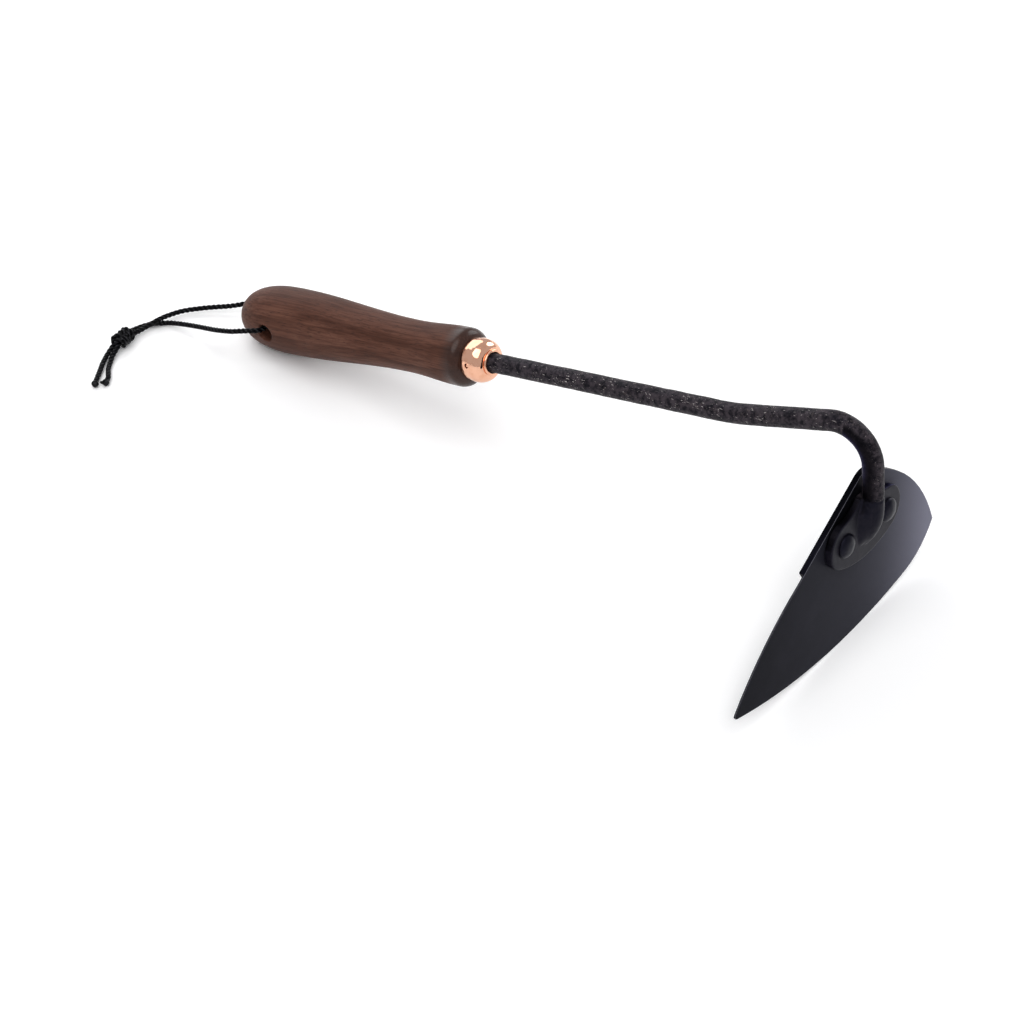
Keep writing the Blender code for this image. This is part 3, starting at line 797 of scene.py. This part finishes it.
@dataclass
class Handle:
    """The turned grip: butt, bulb, waist, collar and rounded shoulder, bored for the tang."""

    frames: Frames
    length: float = 0.1592
    # Distance from the butt, and radius there.
    bulb: Pair = (0.036, 0.0173)
    waist: Pair = (0.121, 0.0131)
    collar: Pair = (0.1530, 0.0146)
    butt_fullness: float = 2.5
    shoulder_radius: float = 0.0052
    tenon_radius: float = 0.0098
    tenon_length: float = 0.0070
    bore_radius: float = 0.0037
    bore_end: float = 0.0890
    hole_position: float = 0.0280
    hole_radius: float = 0.0041
    hole_rounding: float = 0.0026
    hole_sink: float = 0.0001
    hole_steps: int = 12
    hole_sides: int = 72
    butt_steps: int = 28
    grip_steps: int = 48
    collar_steps: int = 20
    shoulder_steps: int = 14
    sides: int = 144

    def profile(self) -> Profile:
        """Return the outline from the butt to the front, then back down the bore."""
        points = [(0.0, 0.0)]
        power = 2.0 / self.butt_fullness
        for i in range(1, self.butt_steps + 1):
            angle = math.pi / 2.0 * (1.0 - i / self.butt_steps)
            points.append((self.bulb[0] * (1.0 - math.sin(angle) ** power),
                           self.bulb[1] * math.cos(angle) ** power))
        for (start, near), (end, far), count in ((self.bulb, self.waist, self.grip_steps),
                                                 (self.waist, self.collar, self.collar_steps)):
            points += [(start + (end - start) * i / count, ease(near, far, i / count))
                       for i in range(1, count + 1)]
        centre = (self.length - self.shoulder_radius, self.collar[1] - self.shoulder_radius)
        points += round_corner(centre, self.shoulder_radius, 90.0, 0.0, self.shoulder_steps)
        front = self.length + self.tenon_length
        return points + [(self.length, self.tenon_radius), (front, self.tenon_radius),
                         (front, self.bore_radius), (self.bore_end, self.bore_radius),
                         (self.bore_end, 0.0)]

    def hole_cutter(self) -> Piece:
        """Make the drill for the lanyard's hole, with rims that flare into the bulb.

        Returns:
            The cutter, level across the handle.
        """
        wall = self.bulb[1] - self.hole_sink
        flare = round_corner((wall - self.hole_rounding, self.hole_radius + self.hole_rounding),
                             self.hole_rounding, 270.0, 360.0, self.hole_steps)
        reach = 2.0 * self.bulb[1]
        side = flare + [(reach, self.hole_radius + self.hole_rounding), (reach, 0.0)]
        profile = [(-along, radius) for along, radius in reversed(side)] + side
        centre = self.frames.tool @ Vector((self.hole_position, 0.0, 0.0))
        matrix = Matrix.Translation(centre) @ Matrix.Rotation(math.radians(90), 4, "Z")
        return turned("hole_cutter", profile, self.hole_sides, matrix)

    def build(self) -> Piece:
        """Turn the handle, drill it and oil it.

        Returns:
            The finished piece.
        """
        grip = turned("walnut_handle", self.profile(), self.sides, self.frames.tool)
        carve(grip, self.hole_cutter())
        return dress(grip, WalnutFinish().material(), Slot.WALNUT, "handle")


@dataclass
class Ferrule:
    """The copper cap over the handle's tenon, and the pin through its side."""

    frames: Frames
    seat: float = 0.1594
    length: float = 0.0122
    base_radius: float = 0.0107
    belly_radius: float = 0.0109
    belly_position: float = 0.0042
    lip_radius: float = 0.00655
    lip_length: float = 0.0013
    groove: float = 0.0004
    hole_radius: float = 0.00505
    socket_radius: float = 0.0101
    socket_depth: float = 0.0073
    edge: float = 0.0004
    pin_radius: float = 0.0009
    pin_gap: float = 0.00035
    pin_length: float = 0.0055
    pin_position: float = 0.0038
    pin_angle: float = math.radians(171)
    pin_sink: float = 0.0002
    pin_crown: float = 0.00045
    pin_sides: int = 36
    drill_reach: float = 0.004
    drill_sides: int = 32
    edge_steps: int = 5
    side_steps: int = 6
    dome_steps: int = 24
    bead_start: float = 150.0
    bead_steps: int = 10
    sides: int = 128

    def profile(self) -> Profile:
        """Return the cap's outline from its base round the dome to the lip and back inside."""
        points = round_corner((self.edge, self.base_radius - self.edge), self.edge, 180.0, 90.0,
                              self.edge_steps)
        for i in range(1, self.side_steps):
            share = i / self.side_steps
            points.append((ease(self.edge, self.belly_position, share),
                           ease(self.base_radius, self.belly_radius, share)))
        dome = self.length - self.lip_length
        rise = self.belly_radius - self.lip_radius
        for i in range(self.dome_steps + 1):
            angle = math.pi / 2.0 * i / self.dome_steps
            points.append((self.belly_position + (dome - self.belly_position) * math.sin(angle),
                           self.lip_radius + rise * math.cos(angle)))
        points.append((dome + self.groove / 4.0, self.lip_radius - self.groove))
        bead = self.lip_length / 2.0
        points += round_corner((self.length - bead, self.lip_radius - bead), bead,
                               self.bead_start, 0.0, self.bead_steps)
        points += round_corner((self.length - self.edge, self.hole_radius + self.edge), self.edge,
                               0.0, -90.0, self.edge_steps)
        return points + [(self.socket_depth, self.hole_radius),
                         (self.socket_depth, self.socket_radius), (0.0, self.socket_radius)]

    def pin_matrix(self) -> Matrix:
        """Return the pin's frame, with its X outwards through the side of the cap."""
        outward = Vector((0.0, math.cos(self.pin_angle), math.sin(self.pin_angle)))
        turn = Vector((1.0, 0.0, 0.0)).rotation_difference(outward).to_matrix().to_4x4()
        middle = Vector((self.seat + self.pin_position, 0.0, 0.0)) + outward * self.belly_radius
        return self.frames.tool @ Matrix.Translation(middle) @ turn

    def build(self) -> list[Piece]:
        """Spin the cap, drill it, and set the pin.

        Returns:
            The cap and the pin.
        """
        copper = CopperFinish().material()
        cap = turned("copper_ferrule", self.profile(), self.sides,
                     self.frames.tool @ Matrix.Translation((self.seat, 0.0, 0.0)), hollow=True)
        matrix = self.pin_matrix()
        bore, reach = self.pin_radius + self.pin_gap, self.drill_reach
        drill = [(-reach, 0.0), (-reach, bore), (reach, bore), (reach, 0.0)]
        carve(cap, turned("pin_drill", drill, self.drill_sides, matrix))
        steps = self.side_steps
        pin_profile = [(-self.pin_sink - self.pin_crown * (i / steps) ** 2,
                        self.pin_radius * i / steps) for i in range(steps + 1)]
        pin_profile += [(-self.pin_length, self.pin_radius), (-self.pin_length, 0.0)]
        pin = turned("ferrule_pin_head", pin_profile, self.pin_sides, matrix)
        return [dress(cap, copper, Slot.COPPER, "ferrule"),
                dress(pin, copper, Slot.COPPER, "ferrule_pin")]


@dataclass
class Shank:
    """The forged bar, its gooseneck and the flattened foot that is riveted to the blade."""

    frames: Frames
    voxel: float = 0.00042
    smoothing: int = 6
    swell_base: float = 0.0032
    swell_top: float = 0.0164
    swell_end: float = -0.0068
    swell_neck: float = 0.0050
    swell_spread: float = 0.45
    swell_width: float = 0.0078
    swell_bow: float = 0.85
    swell_least: float = 0.0001
    swell_sink: float = 0.001
    swell_tuck: float = 0.9
    swell_rows: int = 32
    swell_half: int = 12
    bend_centre: Pair = (-0.0160, 0.0115)
    bend_radius: float = 0.02760
    hammer: float = 0.00012
    hammer_scale: float = 130.0
    foot_share: float = 0.35
    scale: float = 0.00005
    scale_sizes: Pair = (420.0, 1000.0)
    fine_share: float = 0.6
    crease_depth: float = 0.00028
    crease_width: float = 0.0005
    wave: float = 0.0006
    wave_scale: float = 300.0
    foot_front: float = 0.0044
    finish: ForgedFinish = field(default_factory=ForgedFinish)

    def relief(self, place: Vector) -> float:
        """Return how far the forged surface stands out at a place in the blade's frame."""
        bar = place.z > self.finish.crease or place.x < self.finish.behind
        lift = noise.noise(place * self.hammer_scale) * self.hammer
        if bar:
            coarse, fine = self.scale_sizes
            lift += noise.noise(place * coarse) * self.scale
            lift += noise.noise(place * fine) * self.scale * self.fine_share
        else:
            lift *= self.foot_share
        if place.x > self.foot_front:
            wave = noise.noise(Vector((place.y * self.wave_scale, 0.0, 0.0))) * self.wave
            off = (place.z - self.finish.crease - wave) / self.crease_width
            lift -= self.crease_depth * math.exp(-off ** 2)
        return lift

    def add_swell(self, bar: Piece) -> None:
        """Add the swelling by which the bar's toe spreads into its foot.

        Args:
            bar: The bar's solid in the blade's frame, before it is skinned.
        """
        rows = []
        for i in range(self.swell_rows + 1):
            height = self.swell_top + (self.swell_end - self.swell_top) * i / self.swell_rows
            fall = max(0.0, self.bend_centre[1] - height)
            crest = self.bend_centre[0] + math.sqrt(self.bend_radius ** 2 - fall ** 2)
            width = self.swell_neck + self.swell_spread * (self.swell_top - height)
            width = min(self.swell_width, width)
            row = []
            for k in range(2 * self.swell_half + 1):
                across = -1.0 + k / self.swell_half
                bow = max(0.0, math.cos(math.pi / 2.0 * across)) ** self.swell_bow
                rise = max((crest - self.swell_base) * bow, self.swell_least)
                row.append(Vector((self.swell_base + rise, width * across, height)))
            row += [Vector((self.swell_base - self.swell_sink, width * side, height))
                    for side in (self.swell_tuck, -self.swell_tuck)]
            rows.append(row)
        cage = bmesh.new()
        cage.from_mesh(bar.data)
        cover(cage, rows)
        bmesh.ops.recalc_face_normals(cage, faces=cage.faces)
        cage.to_mesh(bar.data)
        cage.free()

    def build(self) -> Piece:
        """Forge the bar's surface over the solid and black it.

        Returns:
            The finished piece.
        """
        bar = copied(self.frames.nodes["shank"], "forged_shank", self.frames.blade)
        self.add_swell(bar)
        skin = bar.modifiers.new("Skin", "REMESH")
        skin.mode = "VOXEL"
        skin.voxel_size = self.voxel
        soften = bar.modifiers.new("Soften", "SMOOTH")
        soften.iterations = self.smoothing
        settle(bar)
        press(bar, self.relief)
        bar.data.shade_smooth()
        return dress(bar, self.finish.material(), Slot.SCALE, "shank")


@dataclass
class Blade:
    """The flat pointed plate, with its edges eased."""

    frames: Frames
    edge: float = 0.00045
    edge_steps: int = 3
    edge_angle: float = math.radians(25)

    def build(self) -> Piece:
        """Ease the plate's edges and paint it.

        Returns:
            The finished piece.
        """
        plate = copied(self.frames.nodes["blade"], "satin_blade", self.frames.blade)
        bevel = plate.modifiers.new("Ease", "BEVEL")
        bevel.width = self.edge
        bevel.segments = self.edge_steps
        bevel.limit_method = "ANGLE"
        bevel.angle_limit = self.edge_angle
        plate.modifiers.new("Flats", "WEIGHTED_NORMAL").keep_sharp = True
        settle(plate)
        return dress(plate, SatinBlackFinish(worn_arris_and_painted_light=True).material(), Slot.PAINT, "blade")


@dataclass
class Rivets:
    """Two domed rivets through foot and plate, peened behind."""

    frames: Frames
    radius: float = 0.0030
    # Base, radius and height of each end.
    head: Point = (0.0044, 0.0056, 0.0026)
    tail: Point = (-0.0031, 0.0050, 0.0018)
    hammer: float = 0.00010
    hammer_scale: float = 420.0
    hammer_shift: float = 9.0
    gloss: float = 0.34
    specular: float = 0.12
    dome_steps: int = 16
    sides: int = 64

    def profile(self) -> Profile:
        """Return the outline from the peened end to the top of the head."""
        quarter = [math.pi / 2.0 * i / self.dome_steps for i in range(self.dome_steps + 1)]
        base, radius, height = self.tail
        points = [(base - height * math.cos(turn), radius * math.sin(turn)) for turn in quarter]
        points += [(base, self.radius), (self.head[0], self.radius)]
        base, radius, height = self.head
        points += [(base + height * math.sin(turn), radius * math.cos(turn)) for turn in quarter]
        points[-1] = (points[-1][0], 0.0)
        return points

    def build(self) -> list[Piece]:
        """Set both rivets.

        Returns:
            The two rivets.
        """
        finish = SatinBlackFinish("rivet_black", gloss=self.gloss, specular=self.specular)
        steel = finish.material()
        pieces = []
        for node, side in (("rivet_point_side", -1.0), ("rivet_heel_side", 1.0)):
            middle = Matrix.Translation((0.0, side * self.frames.rivet_spacing / 2.0, 0.0))
            rivet = turned(node + "_domed", self.profile(), self.sides, self.frames.blade @ middle)
            shift = Vector((side * self.hammer_shift, 0.0, 0.0))
            press(rivet, lambda place, shift=shift: self.hammer * noise.noise(
                place * self.hammer_scale + shift))
            pieces.append(dress(rivet, steel, Slot.RIVET, node))
        return pieces


@dataclass
class Lanyard:
    """Twisted cord looped through the butt, tied in an overhand knot, with two melted tails.

    Routes start from the spot on the ground under the middle of the handle's hole.
    """

    frames: Frames
    hole_position: float
    radius: float = 0.00142
    groove: float = 0.44
    lobes: int = 3
    lay: float = 0.0078
    ring_step: float = 0.00045
    ring_sides: int = 24
    lobe_power: float = 0.7
    curve_steps: int = 24
    # Which point of a leg's route lies at the mouth of the hole.
    mouth_point: int = 2
    start_size: float = 0.3
    blob: float = 0.42
    blob_length: float = 0.0028
    blob_middle: float = 0.45
    blob_spread: float = 0.55
    blob_groove: float = 0.25
    burr: float = 0.5
    burr_reach: Point = (-0.0029, -0.0012, 0.0003)
    knot_place: Point = (-0.0703, -0.0535, 0.0048)
    knot_heading: float = math.radians(-77.3)
    knot_coil: float = 0.0020
    knot_weave: float = 0.0015
    knot_spread: float = 0.0012
    knot_length: float = 0.0066
    knot_stretch: float = 1.15
    knot_middle: float = 0.0012
    knot_weaves: int = 2
    knot_turn: float = math.radians(520.0)
    knot_twist: float = math.radians(50.0)
    knot_steps: int = 36
    knot_mouth: float = 0.0013
    knot_entry: float = -0.0004
    knot_exit: float = -0.0008
    collar_radius: float = 0.0031
    collar_place: float = -0.0040
    collar_pitch: float = 0.0006
    collar_steps: int = 12
    routes: dict[Strand, Sequence[Sequence[int]]] = field(default_factory=lambda: {
        Strand.NEAR_LEG: [
            (-23, -2, 191), (-23, -80, 191), (-23, -150, 191), (-29, -190, 197), (-65, -224, 199),
            (-106, -242, 190), (-159, -258, 175), (-269, -261, 140), (-394, -251, 100),
            (-523, -245, 60), (-627, -248, 28), (-680, -265, 14), (-716, -300, 12),
            (-736, -335, 13), (-746, -376, 17), (-744, -420, 26), (-732, -471, 39)],
        Strand.FAR_LEG: [
            (-23, 2, 191), (-23, 80, 191), (-23, 150, 190), (-29, 190, 186), (-70, 227, 169),
            (-145, 240, 146), (-245, 215, 114), (-340, 158, 80), (-419, 90, 54), (-475, 42, 43),
            (-539, -6, 36), (-602, -62, 31), (-658, -137, 31), (-682, -222, 37), (-686, -280, 43),
            (-690, -324, 42), (-699, -368, 36), (-704, -415, 33), (-704, -465, 39)],
        Strand.LONG_TAIL: [
            (-704, -575, 46), (-702, -605, 36), (-689, -659, 18), (-656, -720, 12),
            (-614, -781, 12), (-563, -855, 16), (-542, -881, 20)],
        Strand.SHORT_TAIL: [
            (-684, -570, 46), (-674, -599, 36), (-660, -642, 23), (-630, -692, 14),
            (-598, -733, 12), (-564, -765, 12), (-541, -787, 12), (-525, -815, 16),
            (-508, -841, 20)],
    })

    def smooth(self, points: Sequence[Sequence[float]]) -> list[Vector]:
        """Return points at the ring step along a smooth curve through a route's points."""
        knots = [Vector(point) for point in points]
        knots = [2.0 * knots[0] - knots[1]] + knots + [2.0 * knots[-1] - knots[-2]]
        fine = []
        for before, start, end, after in zip(knots, knots[1:], knots[2:], knots[3:]):
            for i in range(self.curve_steps):
                t = i / self.curve_steps
                fine.append(0.5 * (2.0 * start + (end - before) * t
                                   + (2.0 * before - 5.0 * start + 4.0 * end - after) * t * t
                                   + (3.0 * start - before - 3.0 * end + after) * t ** 3))
        line = np.array(fine + [knots[-2]])
        travel = np.concatenate([[0.0], np.cumsum(np.linalg.norm(np.diff(line, axis=0), axis=1))])
        stations = np.linspace(0.0, travel[-1], round(travel[-1] / self.ring_step) + 1)
        even = [np.interp(stations, travel, line[:, k]) for k in range(3)]
        return [Vector(point) for point in np.stack(even, 1)]

    def swell(self, left: float, melted: bool) -> float:
        """Return the cord's thickness, near 1, at a distance from its far end."""
        if left <= 0.0:
            return 0.0
        size = 1.0
        if melted:
            off = left - self.blob_length * self.blob_middle
            size += self.blob * math.exp(-(off / (self.blob_length * self.blob_spread)) ** 2)
        cap = self.radius * size
        if left < cap:
            size *= math.sqrt(1.0 - (1.0 - left / cap) ** 2)
        return size

    def lay_cord(self, cage: Cage, line: Sequence[Vector], melted: bool,
                 scale: float = 1.0) -> None:
        """Sweep the twisted section along a line.

        Args:
            cage: The mesh to add to.
            line: The centre line, with points a ring step apart.
            melted: Whether the far end is melted to a blob.
            scale: The thickness as a share of the cord's own.
        """
        length = self.ring_step * (len(line) - 1)
        ahead = (line[1] - line[0]).normalized()
        side = ahead.orthogonal().normalized()
        rows = []
        for i, centre in enumerate(line):
            heading = (line[min(i + 1, len(line) - 1)] - line[max(i - 1, 0)]).normalized()
            side = (ahead.rotation_difference(heading) @ side).normalized()
            ahead = heading
            other = heading.cross(side)
            travelled = i * self.ring_step
            size = self.swell(length - travelled, melted)
            size *= min(1.0, self.start_size + travelled / self.radius)
            plain = melted and length - travelled < self.blob_length
            depth = self.groove * (self.blob_groove if plain else 1.0)
            row = []
            for k in range(self.ring_sides):
                angle = math.tau * k / self.ring_sides
                lobe = abs(math.cos(self.lobes / 2.0 * (angle - math.tau * travelled / self.lay)))
                reach = self.radius * scale * size * (1.0 - depth * (1.0 - lobe ** self.lobe_power))
                row.append(centre + (side * math.cos(angle) + other * math.sin(angle)) * reach)
            rows.append(row)
        cover(cage, rows)

    def knot_line(self, side: float) -> list[Vector]:
        """Return one cord's way through the overhand knot, along the knot's own X.

        Args:
            side: 1 or -1, for the two cords that are tied together.

        Returns:
            The centre line.
        """
        points = [(-self.knot_length, side * self.knot_mouth, self.knot_entry)]
        for i in range(self.collar_steps + 1):
            share = i / self.collar_steps
            turn = math.tau * i / self.collar_steps + side * self.knot_twist
            points.append((self.collar_place + side * self.radius + self.collar_pitch * share,
                           self.collar_radius * math.cos(turn),
                           self.collar_radius * math.sin(turn)))
        for i in range(self.knot_steps + 1):
            share = i / self.knot_steps
            weave = -math.pi / 2.0 + math.tau * self.knot_weaves * share
            turn = self.knot_turn * share + side * self.knot_twist
            reach = self.knot_coil + self.knot_weave * math.cos(weave)
            along = self.knot_middle + self.knot_weave * self.knot_stretch * math.sin(weave)
            points.append((along + side * self.knot_spread,
                           reach * math.cos(turn), reach * math.sin(turn)))
        points.append((self.knot_length, -side * self.knot_mouth, self.knot_exit))
        return self.smooth(points)

    def build_knot(self, ground: Vector, coat: Material) -> Piece:
        """Tie the knot.

        Args:
            ground: The spot that the routes start from.
            coat: The cord's finish.

        Returns:
            The knot.
        """
        cage = bmesh.new()
        for side in (1.0, -1.0):
            self.lay_cord(cage, self.knot_line(side), False)
        matrix = (Matrix.Translation(ground + Vector(self.knot_place))
                  @ Matrix.Rotation(self.knot_heading, 4, "Z"))
        knot = place_mesh(cage, "overhand_knot", matrix, NO_CREASES)
        return dress(knot, coat, Slot.CORD, "lanyard_knot")

    def build(self) -> list[Piece]:
        """Lay the cords, tie them and give each one its finish.

        Returns:
            The cords and the knot.
        """
        coat = CordFinish().material()
        hole = self.frames.tool @ Vector((self.hole_position, 0.0, 0.0))
        ground = Vector((hole.x, hole.y, 0.0))
        knot = self.build_knot(ground, coat)
        pieces = [knot]
        for strand, route in self.routes.items():
            points = [[value / ROUTE_UNITS for value in point] for point in route]
            tail = strand in (Strand.LONG_TAIL, Strand.SHORT_TAIL)
            line = self.smooth([(x, y, max(z, self.radius)) for x, y, z in points])
            cage = bmesh.new()
            self.lay_cord(cage, line, tail)
            if strand is Strand.SHORT_TAIL:
                burr = self.smooth([line[-3], line[-3] + Vector(self.burr_reach)])
                self.lay_cord(cage, burr, True, self.burr)
            cord = place_mesh(cage, strand.value + "_twisted", Matrix.Translation(ground),
                              NO_CREASES)
            dress(cord, coat, Slot.CORD, strand.value)
            pieces.append(cord)
        return pieces


@dataclass(frozen=True)
class Softbox:
    """A round soft lamp."""

    place: Point
    size: float
    power: float
    use: LampUse = LampUse.KEY
    aim: Point = (0.0, 0.0, 0.03)

    def build(self) -> None:
        """Hang the lamp."""
        data = bpy.data.lights.new("softbox", "AREA")
        data.shape = "DISK"
        data.size = self.size
        data.energy = self.power
        lamp = bpy.data.objects.new("softbox", data)
        lamp.location = self.place
        back = Vector(self.place) - Vector(self.aim)
        lamp.rotation_euler = back.to_track_quat("Z", "Y").to_euler()
        lamp.visible_camera = False
        lamp.visible_diffuse = self.use is not LampUse.SHINE
        lamp.visible_glossy = self.use is not LampUse.FILL
        bpy.context.scene.collection.objects.link(lamp)


@dataclass
class Studio:
    """White floor, soft light from above and a camera at the picture's angle."""

    image_size: int = 1024
    focal_pixels: float = 2100.0
    sensor: float = 36.0
    camera_place: Point = (0.50203, -0.61359, 0.63490)
    azimuth: float = math.radians(39.219)
    elevation: float = math.radians(39.495)
    roll: float = math.radians(-1.034)
    floor_radius: float = 6.0
    floor_sides: int = 96
    floor_drop: float = 0.00015
    floor_albedo: float = 0.90
    floor_white: float = 1.125
    ambient: float = 0.29
    mirrored: float = 0.65
    sky: Colour = (0.965, 0.965, 1.0, 1.0)
    sun_azimuth: float = math.radians(-68.0)
    sun_elevation: float = math.radians(66.0)
    sun_spread: float = math.radians(62.0)
    sun_strength: float = 1.36
    softboxes: tuple[Softbox, ...] = (
        Softbox((-0.70, 0.29, 0.50), 0.84, 3.0),
        Softbox((0.25, 1.35, 0.72), 0.95, 7.6),
        Softbox((0.62, -0.76, 0.80), 0.30, 2.4, LampUse.FILL),
        Softbox((-0.04, -0.52, 1.25), 1.20, 9.0, LampUse.SHINE),
    )

    def build_camera(self) -> None:
        """Set the camera at the picture's angle."""
        a, e = self.azimuth, self.elevation
        back = Vector((math.sin(a) * math.cos(e), -math.cos(a) * math.cos(e), math.sin(e)))
        level = Vector((math.cos(a), math.sin(a), 0.0))
        right = Matrix.Rotation(self.roll, 3, back) @ level
        data = bpy.data.cameras.new("camera")
        data.sensor_width = self.sensor
        data.lens = self.focal_pixels / self.image_size * self.sensor
        camera = bpy.data.objects.new("camera", data)
        turn = Matrix((right, back.cross(right), back)).transposed().to_4x4()
        camera.matrix_world = Matrix.Translation(self.camera_place) @ turn
        bpy.context.scene.collection.objects.link(camera)
        bpy.context.scene.camera = camera

    def build_floor(self) -> None:
        """Lay the pale floor, which the eye and polished metal see as white."""
        cage = bmesh.new()
        bmesh.ops.create_circle(cage, cap_ends=True, segments=self.floor_sides,
                                radius=self.floor_radius)
        floor = place_mesh(cage, "floor", Matrix.Translation((0.0, 0.0, -self.floor_drop)))
        coat = Coat("white_floor")
        seen = coat.rays("Is Camera Ray", "Is Glossy Ray", "Is Transmission Ray")
        shade = self.floor_albedo + seen * (self.floor_white - self.floor_albedo)
        coat.set(Base_Color=shade, Specular_IOR_Level=0.0, Roughness=1.0)
        floor.data.materials.append(coat.material)

    def build_light(self) -> None:
        """Hang the soft lamps under an even sky, which looks white behind the floor."""
        data = bpy.data.lights.new("overhead", "SUN")
        data.angle = self.sun_spread
        data.energy = self.sun_strength
        sun = bpy.data.objects.new("overhead", data)
        level = math.cos(self.sun_elevation)
        towards = Vector((level * math.cos(self.sun_azimuth), level * math.sin(self.sun_azimuth),
                          math.sin(self.sun_elevation)))
        sun.rotation_euler = towards.to_track_quat("Z", "Y").to_euler()
        sun.visible_glossy = False
        bpy.context.scene.collection.objects.link(sun)
        for softbox in self.softboxes:
            softbox.build()
        world = bpy.data.worlds.new("studio")
        world.use_nodes = True
        bpy.context.scene.world = world
        graph = Graph(world.node_tree)
        seen = graph.rays("Is Camera Ray", "Is Transmission Ray")
        strength = self.ambient + seen * (1.0 - self.ambient)
        strength = strength + graph.rays("Is Glossy Ray") * (self.mirrored - self.ambient)
        background = world.node_tree.nodes["Background"]
        graph.feed(background.inputs["Color"], self.sky)
        graph.feed(background.inputs["Strength"], strength)
        bpy.context.scene.view_settings.view_transform = "Standard"


def main() -> None:
    """Build the whole tool in its studio."""
    logging.basicConfig(level=logging.INFO, format="%(name)s: %(message)s")
    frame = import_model()
    frames = Frames.read(frame)
    studio = Studio()
    studio.build_camera()
    studio.build_floor()
    studio.build_light()
    handle = Handle(frames)
    pieces = [*Lanyard(frames, handle.hole_position).build(), handle.build(),
              *Ferrule(frames).build(), Shank(frames).build(), Blade(frames).build(),
              *Rivets(frames).build()]
    for piece in pieces:
        LOG.info("%s: %d points", piece.name, len(piece.data.vertices))


if __name__ == "__main__":
    main()
